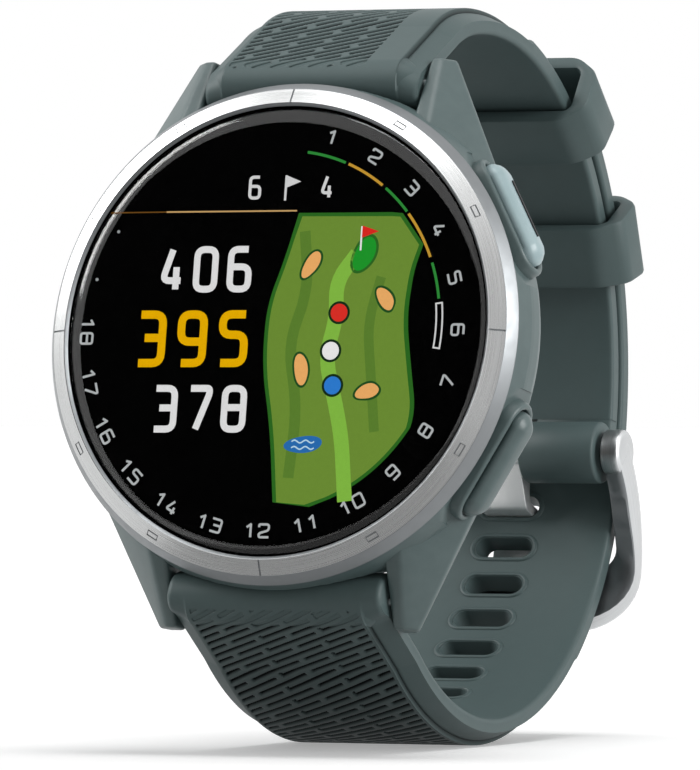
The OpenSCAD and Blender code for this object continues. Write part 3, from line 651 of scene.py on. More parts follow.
map_left = rounded([(1.5, 10.2), (0.4, 6.0), (-0.9, 2.2), (-1.0, -3.0), (0.2, -8.6), (0.9, -14.9)],
                   3, steps=8)
map_right = rounded([(13.3, 7.4), (12.6, 5.2), (12.2, 1.2), (12.9, -3.2), (13.7, -7.6), (11.9, -11.6),
                     (8.6, -14.9), (4.6, -16.2)], 3, steps=8)
patch(in_ring([map_left, map_right[::-1], [(11.2, 10.1), (10.2, 10.2)]], 16.0), "#2c6a22")
inset_left = map_left + (0.35, 0)
inset_left[0, 1] = 9.9
patch(in_ring([inset_left, map_right[::-1] - (0.4, 0.05), [(11.0, 9.8), (10.1, 9.85)]], 15.7), "#6f9136", 1)
fairway = [(7.2, 6.6), (5.4, 4.2), (5.7, 1.2), (4.9, -2.4), (5.9, -5.6), (6.9, -9.2), (7.6, -14.8)]
left_trees = [(2.2, 8.6), (2.9, 3.4), (1.3, -1.2), (2.6, -6.6), (2.2, -12.8)]
right_trees = [(9.6, 4.6), (8.6, 0.6), (9.2, -3.6), (9.9, -8.8)]
for line, width, tint, level in [(fairway, 1.35, "#85bd45", 3), (left_trees, 1.0, "#5d8330", 2),
                                 (right_trees, 0.9, "#5d8330", 2)]:
    ribbon(rounded(line, 3), width, tint, level)
patch(blob(7.9, 6.6, 1.75, 1.15, 66, 0.05, 0.4), "#2d6a24", 3)
patch(blob(7.9, 6.6, 1.5, 0.92, 66, 0.05, 0.4), "#1f9a2c", 4)
for sand in [(3.0, 5.7, 1.25, 0.62, 62, 0.07, 1.0), (10.1, 2.7, 1.15, 0.6, -48, 0.08, 2.2),
             (2.7, -3.4, 1.3, 0.66, 100, 0.06, 0.3), (9.0, -5.3, 1.1, 0.62, 24, 0.09, 1.7)]:
    patch(blob(*sand[:2], sand[2] + 0.2, sand[3] + 0.2, *sand[4:]), "#1f4f22", 3)
    patch(blob(*sand), "#f2b169", 4)
patch(blob(3.4, -9.9, 1.7, 0.75, 8, 0.06, 0.8), "#2a6fb5", 4)
for ripple in (-9.65, -10.2):
    t = np.linspace(0, 1, 25)
    ribbon(np.c_[2.3 + 2.1 * t, ripple + 0.12 * np.sin(t * 4 * np.pi)], 0.12, "#bfe0f2", 5)
ribbon([(7.5, 6.9), (7.5, 9.0)], 0.16, "#f0f0f0", 5)
patch([(7.55, 9.05), (9.1, 8.55), (7.55, 8.0)], "#e02a22", 6)
for x, y, tint in [(5.9, 1.5, "#e23128"), (5.35, -1.8, "#f2f2f2"), (5.75, -4.8, "#2f7fd6")]:
    dot(x, y, 1.0, "#16301a", 5)
    dot(x, y, 0.78, tint, 6)
piece("display_print", prints, "watch", "display", [display_and_painted_ring_light], ["display_panel"], merge=False)

# %% [markdown]
# ## The case
# The nylon case is a turned wall that is cut flat beside each button and hollowed for the round
# ends of the strap. Its radius is the smallest of three functions of angle and height. Close
# pairs of angles stand where a flat ends, and of heights where a hollow ends, so that these
# steps stay upright.

# %% Case wall
WALL = np.array([[-2.4, 21.7], [-3.4, 21.98], [-4.4, 22.22], [-4.9, 22.25], [-6.0, 22.25], [-6.5, 22.15],
                 [-7.6, 21.72], [-8.8, 21.15], [-10.0, 20.35], [-10.8, 19.75], [-11.1, 19.45], [-11.2, 19.2]])
BUTTON_ANGLE, BUTTON_Z = 29, -5.4
VALLEY_FLOOR, VALLEY_HALF = 21.1, 6.6
BAR_Y, BAR_Z = 22.5, -6.3
HOLLOW_R = 2.65
STRAP_BAY = 10.2


def wall_radius(angle, z):
    """Least of the turned wall, the flats by the buttons and the hollows at the strap's ends."""
    r = np.interp(-z, -WALL[:, 0], WALL[:, 1])
    for side in (1, -1):
        off = np.radians((angle - side * BUTTON_ANGLE + 180) % 360 - 180)
        flat = VALLEY_FLOOR / np.cos(np.clip(off, -1, 1))
        r = np.where(np.abs(flat * np.sin(off)) < VALLEY_HALF, np.minimum(r, flat), r)
    a = np.radians(angle)
    depth = np.sqrt(np.clip(HOLLOW_R ** 2 - np.clip(z - BAR_Z, 0, None) ** 2, 0, None))
    hollow = (BAR_Y - depth) / np.maximum(np.abs(np.sin(a)), 0.3)
    in_bay = (np.abs(hollow * np.cos(a)) < STRAP_BAY) & (np.abs(np.sin(a)) > 0.5) & (z < BAR_Z + HOLLOW_R)
    return np.where(in_bay, np.minimum(r, hollow), r)


flat_ends = [s * BUTTON_ANGLE + e * np.array([17.36, 17.42]) for s in (1, -1) for e in (1, -1)]
wall_angles = np.concatenate([np.arange(0, 360, 0.75), *flat_ends]) % 360
wall_angles = np.unique(np.round(wall_angles, 3))
wall_z = -np.unique(np.concatenate([-WALL[:, 0], np.linspace(2.4, 11.2, 56), [3.63, 3.67]]))
grid_a, grid_z = np.meshgrid(wall_angles, wall_z, indexing="ij")
outside = np.dstack([spoke((0, 0), wall_radius(grid_a, grid_z)[..., None], grid_a), grid_z])
inside = turned([[18.4, -11.2], [18.4, -10.2], [18.62, -8.4], [18.62, -2.9], [19.3, -2.9], [19.3, -2.4]],
                wall_angles)
piece("case_wall", [shell(np.concatenate([outside, inside], 1), True, True)], "watch", *NYLON,
      ["case_body"], sharp=28)

# %% [markdown]
# ### Lugs
# Each lug is a block with five flat facets. Planes cut it to shape and a small round follows
# every edge, which is what catches the light on a moulded part. The other three lugs are mirror
# images of the first.

# %% Lugs
BEZEL_R = 21.85
SIDE_OUT = -0.05     # the undercut side facet, at 6.5 mm below the rim


def facet(lean, direction, out, height):
    """A plane (normal, distance): leant from the dial's axis, through a point outside the bezel."""
    a, b = math.radians(lean), math.radians(direction)
    normal = (math.sin(a) * math.cos(b), math.sin(a) * math.sin(b), math.cos(a))
    return np.array(normal), (BEZEL_R + out) * math.sin(a) + height * math.cos(a)


LUG_FACETS = [facet(28.1, 90, -2.19, -4), facet(48.3, 33.8, -1.22, -4), facet(112, 24, SIDE_OUT, -6.5),
              facet(172, 90, 3.05, -9.02), facet(90, 74, 5.55, 0)]
LUG_ROOT = (np.array([*spoke((0, 0), -1, 50), 0]), -18.6)
LUG_LOW, LUG_HIGH = np.array([10.2, 12, -10.6]), np.array([20.2, 24.9, -0.6])


def lug(across, up):
    """The block cut by its facets and by a plane inside the wall, then mirrored to its corner."""
    work = bmesh.new()
    bmesh.ops.create_cube(work, size=1)
    for v in work.verts:
        v.co = (np.array(v.co) + 0.5) * (LUG_HIGH - LUG_LOW) + LUG_LOW
    for normal, distance in LUG_FACETS + [LUG_ROOT]:
        everything = work.verts[:] + work.edges[:] + work.faces[:]
        cut = bmesh.ops.bisect_plane(work, geom=everything, plane_co=normal * distance, plane_no=normal,
                                     clear_outer=True, dist=1e-6)
        rim = [g for g in cut["geom_cut"] if isinstance(g, bmesh.types.BMEdge)]
        if rim:
            bmesh.ops.contextual_create(work, geom=rim)
    bmesh.ops.remove_doubles(work, verts=work.verts, dist=1e-4)
    work.verts.index_update()
    points = np.array([v.co for v in work.verts]) * (across, up, 1)
    faces = [[v.index for v in f.verts] for f in work.faces]
    work.free()
    return flat_faced(points, faces)


piece("case_lugs", [lug(a, b) for a in (1, -1) for b in (1, -1)], "watch", *NYLON, ["case_body"],
      sharp=40, bevel=0.32)

# %% [markdown]
# ## Buttons
# Each button is a rounded bar that slides in a thin raised collar. Collar and cap are the same
# construction: an obround outline that shrinks inwards while its height follows a profile. The
# face also bends with the case, as a circle about the dial's axis does.

# %% Collars and caps
END_POINTS = 25       # along each half circle of an obround


def obround(length, width, inset):
    """Outline of a slot: two half circles whose radius is half the width less the inset."""
    t = np.radians(np.r_[np.linspace(-90, 90, END_POINTS), np.linspace(90, 270, END_POINTS)])
    end = np.repeat([1, -1], END_POINTS) * (length - width) / 2
    r = width / 2 - inset
    return np.stack([end + r * np.cos(t), r * np.sin(t)], -1)


def raised(side, length, width, profile, bend_r):
    """Grid over outline and profile (inset, out), lowered as a circle of radius bend_r.

    u runs round the case, v up the dial's axis and out away from it, at the button's angle.
    """
    u, v = np.stack([obround(length, width, inset) for inset, _ in profile], 1).transpose(2, 0, 1)
    out = np.array([o for _, o in profile]) - (bend_r - np.sqrt(bend_r ** 2 - u ** 2))
    a = math.radians(side * BUTTON_ANGLE)
    points = [out * math.cos(a) - u * math.sin(a), out * math.sin(a) + u * math.cos(a), BUTTON_Z + v]
    return shell(np.stack(points, -1), True)


COLLAR_BEND, CAP_BEND = 46, 23.6
COLLAR = [(0.3, 20.3), (0, 20.4), (0, 22.12), (0.05, 22.27), (0.16, 22.38), (0.3, 22.4), (0.44, 22.38),
          (0.55, 22.28), (0.6, 22.12), (0.6, 21.02), (1.2, 21.0), (2.25, 21.0)]
CAP = [(0.3, 22.34), (0.05, 22.36), (0, 22.42), (0, 22.75), (0.04, 22.95), (0.16, 23.12), (0.36, 23.3),
       (0.52, 23.44), (0.72, 23.53), (1.0, 23.58), (1.5, 23.59)]
SLIT = [(0.0, 23.5), (0.0, 23.605), (0.14, 23.605)]
piece("case_button_collars", [raised(s, 11.5, 4.5, COLLAR, COLLAR_BEND) for s in (1, -1)], "watch",
      *NYLON, ["case_body"], sharp=40)
for button, side, slot_and_finish in [("upper_button", 1, ("blue_plastic", [blue_nylon])),
                                      ("lower_button", -1, NYLON)]:
    piece(button + "_cap_dressed", [raised(side, 10, 3, CAP, CAP_BEND)], button, *slot_and_finish,
          [button + "_cap"], sharp=40)
# The slit is a thin black strip laid on the cap: its black is painted shade of the slit.
piece("upper_button_slit", [raised(1, 5.6, 0.28, SLIT, CAP_BEND)], "upper_button", "black_rubber",
      [black_rubber])

# %% [markdown]
# ## The strap
# Both halves of the silicone strap follow a chain of bends, given as radius and turn. A pose
# along that chain is a place and a heading, so any detail can be drawn flat, with a distance
# along, a height and a width, and then carried onto the bent strap. Relief that belongs to the
# mould is added to the height.

# %% Strap path
WRIST = np.array([1.0, -24.5])
STRAP_HALF = 10.0
UPPER_START = (*spoke(spoke(WRIST, 16, 15), 13, 60), -30)      # place and heading in degrees
UPPER_ZONE = [(13, 45), (29, 25)]                              # the bends of the raised zone
UPPER_BENDS = UPPER_ZONE + [(29, 86.5)]
LOWER_START = (*spoke(WRIST, 31.4, 328), 238)
LOWER_SMOOTH = [(31.4, 58), (80, 3), (24.5, 21), (30, 20)]
LOWER_BENDS = LOWER_SMOOTH + [(30, 29), (27, 58)]


def length_of(bends):
    """Radius times turn in radians, summed over the bends."""
    return sum(r * math.radians(turn) for r, turn in bends)


def follow(start, bends, s):
    """Pose at distances s: each bend turns its own centre's spoke by distance over radius."""
    s = np.asarray(s, float)
    y, z, heading = start
    pose = np.zeros(s.shape + (3,))
    done = 0.0
    for k, (r, turn) in enumerate(bends):
        h = math.radians(heading)
        cy, cz = y + r * math.sin(h), z - r * math.cos(h)
        a = h - (s - done) / r
        here = s >= (done if k else -np.inf)
        new = np.stack([cy - r * np.sin(a), cz + r * np.cos(a), a], -1)
        pose[here] = new[here]
        done += r * math.radians(turn)
        heading -= turn
        h = math.radians(heading)
        y, z = cy - r * math.sin(h), cz + r * math.cos(h)
    return pose


def on_strap(pose, x, out):
    """The place at width x and a height out from the strap's inner side."""
    y = pose[..., 0] - out * np.sin(pose[..., 2])
    z = pose[..., 1] + out * np.cos(pose[..., 2])
    return np.stack(np.broadcast_arrays(x, y, z), -1)


zone_end, upper_end = length_of(UPPER_ZONE), length_of(UPPER_BENDS)
zone_from, lower_end = length_of(LOWER_SMOOTH), length_of(LOWER_BENDS)
print("strap halves", round(upper_end, 1), round(lower_end, 1), "mm")

# %% [markdown]
# ### Relief of the outer face
# The part near each lug is raised, with a bevelled border on both sides, and carries slanting
# dashes laid like bricks. The rest is smooth. Height and shade of the outer face are functions
# of the place on the strap.

# %% Strap relief
BAND, ZONE = 2.0, 2.4     # thickness of the smooth band and of the raised zone
TUBE_R = 2.4
ROOT = 5.0                # where the straight root meets the band, from the band's end
WRAP = 200                # degrees of the tube that the skin goes round
ZONE_HALF = 8.2
BORDER_EDGE, BORDER_STEP = 1.25, 0.4          # border's height at the strap's edge, and its first fall
STEP_DEPTH, STEP_HALF, STEP_SHADE = 0.12, 0.14, 0.8
EDGE_ROUND, EDGE_DROP = 0.7, 0.55             # how the smooth band's edge falls away
FULL_ROUND, FULL_DROP = 0.4, 0.3              # and the full-width root's
SLANT = math.radians(28)
DASH_PITCH, DASH, DASH_BREAK, DASH_DEPTH = 0.84, 7.0, 0.7, 0.22
DASH_SHIFT = 0.43         # share of a dash by which the next row is moved
DASH_HALF = {False: 0.27, True: 0.21}     # half widths, plain and hooked
DASH_SLOPE, SOFT = 0.08, 0.1              # mm over which its sides and its ends rise
HOOK_HALF, HOOK_AT = 0.17, 0.15
ZONE_BLEND = 0.9
ROOT_BLEND, ROOT_LEAD = 4, 2.6     # the border fades over 4 mm, from 2.6 mm before the last groove


def dashes(x, s, hooked):
    """1 in a groove: close to the middle of a slanting row, but not in the break of its dash."""
    across = s * math.cos(SLANT) - x * math.sin(SLANT)
    along = x * math.cos(SLANT) + s * math.sin(SLANT)
    row = np.floor(across / DASH_PITCH)
    off = across / DASH_PITCH - row - 0.5
    run = np.mod(along + row * DASH * DASH_SHIFT, DASH)
    groove = np.clip((DASH_HALF[hooked] - np.abs(off) * DASH_PITCH) / DASH_SLOPE, 0, 1)
    groove = groove * np.clip((DASH - DASH_BREAK - run) / SOFT, 0, 1) * np.clip(run / SOFT, 0, 1)
    if hooked:
        hook = (np.abs(run - HOOK_AT) < HOOK_HALF) & (off >= 0) & (np.mod(row, 2) == 0)
        groove = np.maximum(groove, hook)
    return groove


def outer_face(x, s, zone):
    """Height and shade: smooth band, or raised zone with a sloping border, less its grooves."""
    start, end, groove_from, groove_to, hooked, plain = zone
    blend = np.clip((s - start) / ZONE_BLEND + 0.5, 0, 1) * np.clip((end - s) / ZONE_BLEND + 0.5, 0, 1)
    edge = np.abs(x)
    border = np.interp(edge, [ZONE_HALF, ZONE_HALF + 0.12, STRAP_HALF],
                       [ZONE, ZONE - BORDER_STEP, BORDER_EDGE])
    smooth = BAND - EDGE_DROP * np.clip((edge - (STRAP_HALF - EDGE_ROUND)) / EDGE_ROUND, 0, 1) ** 2
    full = ZONE - FULL_DROP * np.clip((edge - STRAP_HALF) / FULL_ROUND + 1, 0, 1) ** 2
    root = groove_from - s if start < 0 else s - groove_to + ROOT_LEAD
    root = np.clip(root / ROOT_BLEND, 0, 1)
    root = root * root * (3 - 2 * root)
    border = border + (full - border) * root
    groove = dashes(x, s, hooked) * (edge < ZONE_HALF - 0.35) * (x < plain)
    groove = groove * (s > groove_from) * (s < groove_to)
    # The small groove at the zone's step gets painted shade as well.
    step = np.clip(1 - np.abs(edge - ZONE_HALF - 0.1) / STEP_HALF, 0, 1) * (blend > 0.9) * (root < 0.1)
    height = smooth + (border - smooth) * blend - DASH_DEPTH * groove - STEP_DEPTH * step
    return height, np.maximum(groove, step * STEP_SHADE)


CORNER = np.array([[9.97, 0.62], [10.0, 0.5], [10.0, 0.3], [9.93, 0.14], [9.8, 0.04], [9.6, 0.0]])
UNDER = np.vstack([CORNER, np.c_[np.linspace(8, -8, 9), np.zeros(9)], CORNER[::-1] * (-1, 1)])
SIDE_COLUMNS = np.r_[np.linspace(8.0, 8.6, 7), np.linspace(8.7, 10, 9)]
COLUMNS = np.r_[np.arange(-8.0, 8.001, 0.12), SIDE_COLUMNS, -SIDE_COLUMNS]
COLUMNS = np.unique(np.round(COLUMNS, 4))     # close on the zone's step and towards the edges


def swept_strap(pose, s, zone):
    """Closed section carried along the poses: outer face, rounded side, inner face, other side."""
    height, shade = outer_face(COLUMNS[None, :], s[:, None], zone)
    flat = np.zeros((len(s), len(UNDER)))
    x, out = np.r_[COLUMNS, UNDER[:, 0]], np.hstack([height, UNDER[:, 1] + flat])
    shade = np.repeat(np.hstack([shade, flat]).reshape(-1, 1), 3, 1)
    return shell(on_strap(pose[:, None], x[None, :], out), False, True, caps=True, shade=shade)


def root_poses(bar, pose, side, step):
    """Poses over the round end: an arc of the tube, then its tangent line to the band's outer face."""
    centre = np.array(bar)
    reach = pose[:2] + ZONE * np.array([-math.sin(pose[2]), math.cos(pose[2])]) - centre
    distance = np.linalg.norm(reach)
    tangent = math.atan2(reach[1], reach[0]) + side * math.acos(TUBE_R / distance)
    line = math.sqrt(distance ** 2 - TUBE_R ** 2)
    back = np.arange(0, line + TUBE_R * math.radians(WRAP), step)[::-1]
    a = tangent + side * np.clip(back - line, 0, None) / TUBE_R
    out = np.stack([np.cos(a), np.sin(a)], -1)
    touch = centre + TUBE_R * np.array([math.cos(tangent), math.sin(tangent)])
    share = np.clip(back / line, 0, 1)[:, None]
    straight = touch + (centre + reach - touch) * (1 - share)
    outer = np.where((back <= line)[:, None], straight, centre + TUBE_R * out)
    return back, np.c_[outer - ZONE * out, a - math.pi / 2]


def tube(bar):
    """The strap's core about the bar, a little thinner than its skin and tapered at both ends."""
    return turned_across([(-9.9, 0), (-9.9, 1.2), (-8.2, 2.3), (8.2, 2.3), (9.9, 1.2), (9.9, 0)], bar)


# %% [markdown]
# ### Upper half
# The upper half runs from its tube over the wrist to the buckle, where it ends in a barrel round
# the buckle's pin. The barrel is notched in the middle for the tongue.

# %% Upper half
FINE = 0.105              # spacing of the sections on the raised zone
UPPER_BAR, LOWER_BAR = (BAR_Y, BAR_Z), (-BAR_Y, BAR_Z)
NOTCH_HALF = 2.65
BARREL_R = 2.8
BAND_STOP = 3.4           # from here to the end, two legs carry the barrel
BUCKLE_BAR = spoke(WRIST, 27.9, 263.5)
join_pose = follow(UPPER_START, UPPER_BENDS, ROOT)
root_back, root_pose = root_poses(UPPER_BAR, join_pose, 1, FINE)
band_s = np.r_[np.arange(ROOT + 0.1, zone_end + 0.8, FINE),
               np.arange(zone_end + 1.2, upper_end - BAND_STOP, 0.7), upper_end - BAND_STOP]
upper_s = np.r_[ROOT - root_back, band_s]
upper_pose = np.vstack([root_pose, follow(UPPER_START, UPPER_BENDS, band_s)])
upper_zone = (-99, zone_end, -3.2, zone_end - 0.6, False, 5.0)


def barrel(low, high):
    """Half of the barrel: a ring turned about the buckle's pin between two widths."""
    half = [(0, 0.95), (0, BARREL_R - 0.25), (0.08, BARREL_R - 0.08), (0.25, BARREL_R)]
    profile = [(low + x, r) for x, r in half] + [(high - x, r) for x, r in half[::-1]]
    return turned_across(profile, BUCKLE_BAR, 60, ring=True)


def strap_leg(low, high):
    """Narrow end of the strap beside the notch, from before the barrel to its far side."""
    section = np.array([[low, 0.2], [low, 1.7], [low + 0.2, 1.98], [high - 0.2, 1.98], [high, 1.7],
                        [high, 0.2], [high - 0.2, 0.02], [low + 0.2, 0.02]])
    pose = follow(UPPER_START, UPPER_BENDS, upper_end - np.linspace(BAND_STOP + 0.4, 0.2, 6))
    return shell(on_strap(pose[:, None], *section.T[:, None]), False, True, caps=True)


upper_shells = [swept_strap(upper_pose, upper_s, upper_zone), tube(UPPER_BAR),
                barrel(NOTCH_HALF, 9.95), barrel(-9.95, -NOTCH_HALF),
                strap_leg(NOTCH_HALF, 9.9), strap_leg(-9.9, -NOTCH_HALF)]
piece("strap_upper_half", upper_shells, "watch", *SILICONE, ["strap_upper"], sharp=45)

# %% [markdown]
# ### Lower half
# The lower half starts at the free end, runs round the wrist and up to its lug. Twelve slots are
# pressed through it. Straight cutters, wider inside than outside, are taken from the strip with
# a Boolean, which keeps the slots' round ends clean. A raised rim, bent with the strap, follows
# each slot on the inner side, and on the outer side where no keeper slides.

# %% Lower half
SLOT_L, SLOT_W = 5.8, 2.1
SLOT_TAPER = ((-1.2, 1.05), (4.2, 0.62))     # height from the inner side, and share of the size
SLOT_PITCH, SLOTS, TONGUE_SLOT = 4.1, 12, 5
TONGUE_AT = 39.5
KEEPER_END = 25.0     # the lower keeper slides over the free end up to here
TIP_R, TIP_AT = 7, 6.4     # the free end's rounding: its radius and its centre from the tip
slots_at = TONGUE_AT + (np.arange(SLOTS) - TONGUE_SLOT) * SLOT_PITCH
lower_zone = (zone_from, 999, zone_from + 0.8, lower_end + 4.2, True, 99)
band_s = np.r_[np.arange(0, 7, 0.35), np.arange(7, zone_from - 0.8, 0.6),
               np.arange(zone_from - 0.8, lower_end - ROOT, 0.115)]
join_pose = follow(LOWER_START, LOWER_BENDS, lower_end - ROOT)
root_back, root_pose = root_poses(LOWER_BAR, join_pose, -1, 0.115)
lower_s = np.r_[band_s, lower_end - ROOT + root_back[::-1]]
lower_pose = np.vstack([follow(LOWER_START, LOWER_BENDS, band_s), root_pose[::-1]])


def round_tip(made, s):
    """Narrows the free end: half width 3 plus the height of a circle of radius 7, and thins its edge."""
    grid = made["points"].reshape(len(s), -1, 3)
    half = STRAP_HALF - TIP_R + np.sqrt(np.clip(TIP_R ** 2 - np.clip(TIP_AT - s, 0, None) ** 2, 0, None))
    grid[..., 0] *= (half / STRAP_HALF)[:, None]
    middle = on_strap(lower_pose, 0.0, BAND / 2)[:, None, 1:]
    thin = np.interp(s, [0, 0.35, 0.7], [0.72, 0.93, 1.0])[:, None, None]
    grid[..., 1:] = middle + (grid[..., 1:] - middle) * thin
    made["points"] = grid.reshape(-1, 3)
    return made


def slot_cutters():
    """One tapered solid for each slot, from below the inner side to above the outer face."""
    line = obround(SLOT_L, SLOT_W, 0)
    rings, faces = [], []
    for k, at in enumerate(slots_at):
        pose = follow(LOWER_START, LOWER_BENDS, at)
        ahead = np.array([0, math.cos(pose[2]), math.sin(pose[2])])
        rings += [on_strap(pose, line[:, 0] * taper, out) + line[:, 1:] * taper * ahead
                  for out, taper in SLOT_TAPER]
        faces += between_rings(len(line), 2 * k * len(line))
    mesh = bpy.data.meshes.new("slot_cutters")
    mesh.from_pydata(stand(np.vstack(rings)).tolist(), [], faces)
    finish_mesh(mesh)
    return placed("slot_cutters", mesh)


def cut_from(made, cutter):
    """Takes the cutter's solids from a piece with the exact Boolean and keeps the result as its mesh."""
    tool = made.modifiers.new("slots", "BOOLEAN")
    tool.operation = "DIFFERENCE"
    tool.solver = "EXACT"
    tool.object = cutter
    depsgraph = bpy.context.evaluated_depsgraph_get()
    mesh = bpy.data.meshes.new_from_object(made.evaluated_get(depsgraph))
    made.modifiers.clear()
    mesh.name = made.name
    made.data = mesh
    mesh.set_sharp_from_angle(angle=math.radians(45))
    bpy.data.objects.remove(cutter)
    print(made.name, len(mesh.polygons), "faces after cutting")


lower_strip = round_tip(swept_strap(lower_pose, lower_s, lower_zone), lower_s)
lower_half = piece("strap_lower_half", [lower_strip], "watch", *SILICONE, ["strap_lower"], sharp=45)
cut_from(lower_half, slot_cutters())

RIM = np.array([(0.0, -0.4), (0.0, 0.06), (-0.08, 0.13), (-0.26, 0.13), (-0.38, 0.06), (-0.42, -0.1),
                (-0.42, -0.4)])     # inset and height of the rim's section
rims = []
rings = np.stack([obround(SLOT_L, SLOT_W, inset) for inset in RIM[:, 0]], 1)
for at in slots_at:
    outside_height = (ZONE if at > zone_from else BAND) + RIM[:, 1]
    pose = follow(LOWER_START, LOWER_BENDS, at + rings[..., 1])
    for height in (outside_height, -RIM[:, 1])[at < KEEPER_END:]:
        rims.append(shell(on_strap(pose, rings[..., 0], height[None, :]), True, True))
piece("strap_slot_rims", rims, "watch", *SILICONE, sharp=50)
piece("strap_lower_core", [tube(LOWER_BAR)], "watch", *SILICONE, ["strap_lower"])

# %% [markdown]
# ## Keepers
# Two silicone bands hold the free end on the upper half. Each is a flat octagon loop about both
# layers of strap, bent round the wrist's centre. The wall's small round section is carried round
# the loop by mixing an inner and an outer loop with the same number of points.

# %% Keepers
KEEPER_HALF = 5.91     # degrees


def octagon(half, radius):
    """Closed loop with rounded corners from its right half, given as (radius from the wrist, x)."""
    half = np.array(half)
    return rounded(np.vstack([half, half[::-1] * (1, -1)]), radius, closed=True, steps=5)


# Loops of the bore and of the outside, then the wall's section: share of the half width along the
# strap, and share of the way from the inner to the outer loop
loop_in = octagon([(28.82, 10.15), (29.3, 10.48), (33.1, 10.48), (33.58, 10.15)], 0.5)
loop_out = octagon([(27.42, 9.7), (29.2, 12.07), (33.2, 12.07), (34.97, 9.9)], 0.9)
turn, share = np.array([(-1, 0.25), (-0.97, 0.08), (-0.9, 0), (0.9, 0), (0.97, 0.08), (1, 0.25), (1, 0.75),
                        (0.97, 0.92), (0.9, 1), (-0.9, 1), (-0.97, 0.92), (-1, 0.75)]).T
loop = loop_in[:, None] + (loop_out - loop_in)[:, None] * share[None, :, None]
for name, body, at in [("keeper_upper", "upper_keeper", 326.8), ("keeper_lower", "lower_keeper", 300.5)]:
    grid = np.dstack([loop[..., 1:], spoke(WRIST, loop[..., :1], at + turn * KEEPER_HALF)])
    piece(name + "_band", [shell(grid, True, True)], body, *SILICONE, [name], sharp=40)

# %% [markdown]
# ## The buckle
# The buckle is a steel frame bent to the wrist, deeper along its two rails, with a knuckle at
# each end for the pin. Its outer and inner outlines are drawn with the same number of points, a
# bevelled section is laid between them, and the whole is wrapped on a circle in the side view.

# %% Buckle frame
FRAME_CENTRE = np.array([-11.5, -44.5])
FRAME_R = 13.65
FRAME_HALF, RAIL_HALF = 12.3, 10.4
FREE_Y = spoke(FRAME_CENTRE, FRAME_R, 240)[0]
OPEN_Y = -12.5
BAR_END_Y = spoke(FRAME_CENTRE, FRAME_R, 320)[0]
PLATE_T, RAIL_MORE = 2.05, 1.4     # thickness of the plate, and what the rails add by the knuckles


def u_line(half, end_y, corner):
    """Half width down one rail, round a corner, over the end, and back: the same counts each time."""
    rail = np.linspace(BAR_END_Y, end_y + corner, 22)[:-1]
    bend = spoke((half - corner, end_y + corner), corner, -np.linspace(0, 90, 10))
    right = np.vstack([np.c_[np.full(len(rail), half), rail], bend])
    over = np.linspace(half - corner, -(half - corner), 26)[1:-1]
    return np.vstack([right, np.c_[over, np.full(len(over), end_y)], right[::-1] * (-1, 1)])


def frame_thickness(y):
    """From the plate's to the rails' thickness, with an even S curve over 8 mm between."""
    t = np.clip((y + 13.5) / 8, 0, 1)
    return PLATE_T + RAIL_MORE * t * t * (3 - 2 * t)


def wrap_on_frame(x, y, depth):
    """Angle from y on the frame's circle, then a radius less the depth."""
    a = -np.arccos(np.clip((y - FRAME_CENTRE[0]) / FRAME_R, -1, 1))
    return np.dstack([x, spoke(FRAME_CENTRE, (FRAME_R - depth)[..., None], np.degrees(a))])


# The section: share from outer to inner edge, inset in mm from its edge, and share of the depth
FRAME_SECTION = np.array([
    (0, 0.0, 0.34), (0, 0.05, 0.24), (0, 0.42, 0.02), (0, 0.55, 0.0),
    *[(t, 0.0, 0.0) for t in np.linspace(0.35, 0.65, 9)],
    (1, -0.3, 0.0), (1, -0.16, 0.01), (1, -0.03, 0.07), (1, 0, 0.12), (1, 0, 0.88), (1, -0.12, 0.97),
    (1, -0.3, 1.0), (0.6, 0.0, 1.0), (0.4, 0.0, 1.0), (0, 0.3, 1.0), (0, 0.12, 0.97), (0, 0, 0.88)])
frame_out, frame_in = u_line(FRAME_HALF, FREE_Y, 5.5), u_line(RAIL_HALF, OPEN_Y, 2.5)
share, inset, deep = FRAME_SECTION.T
span = frame_in - frame_out
width = np.linalg.norm(span, axis=1, keepdims=True)
mix = share[None, :, None] * span[:, None] + inset[None, :, None] * (span / width)[:, None]
flat = frame_out[:, None] + mix
frame_grid = wrap_on_frame(flat[..., 0], flat[..., 1], deep[None, :] * frame_thickness(flat[..., 1]))
BUCKLE_BRUSHED, BUCKLE_BRIGHT, BUCKLE_SHADED_SATIN = range(3)
frame_finish = np.full((1, len(share)), BUCKLE_BRUSHED)
frame_finish[0, 0:3] = BUCKLE_BRIGHT      # the outer bevel
frame_finish[0, 16:23] = BUCKLE_SHADED_SATIN     # the opening's wall and the underside, in painted shade
KNUCKLE = [(10.42, 0), (10.42, 1.95), (10.55, 2.1), (11.8, 2.1), (12.05, 2.03), (12.2, 1.85), (12.28, 1.5),
           (12.3, 0)]
knuckles = [turned_across(np.array(KNUCKLE) * (side, 1), BUCKLE_BAR) for side in (1, -1)]
frame_shell = shell(frame_grid, False, True, caps=True, finish=frame_finish)
piece("buckle_frame_dressed", [frame_shell, *knuckles], "buckle", "brushed_steel",
      [buckle_steel, bright_steel, shaded_satin_steel], ["buckle_frame"], sharp=32)

# %% [markdown]
# ### Tongue and pin
# The tongue is a bent steel strip that turns on the pin, passes through a slot of the free end
# and rests on the frame. It is its side outline carried over its width, with a bevel. The pin is
# a plain turned bar with bevelled ends.

# %% Tongue and pin
slot_pose = follow(LOWER_START, LOWER_BENDS, TONGUE_AT)


def in_slot(along, out):
    """A point given along the strap from the slot that holds the tongue, and out from its inner side."""
    c, s = math.cos(slot_pose[2]), math.sin(slot_pose[2])
    return slot_pose[:2] + along * np.array([c, s]) + out * np.array([-s, c])


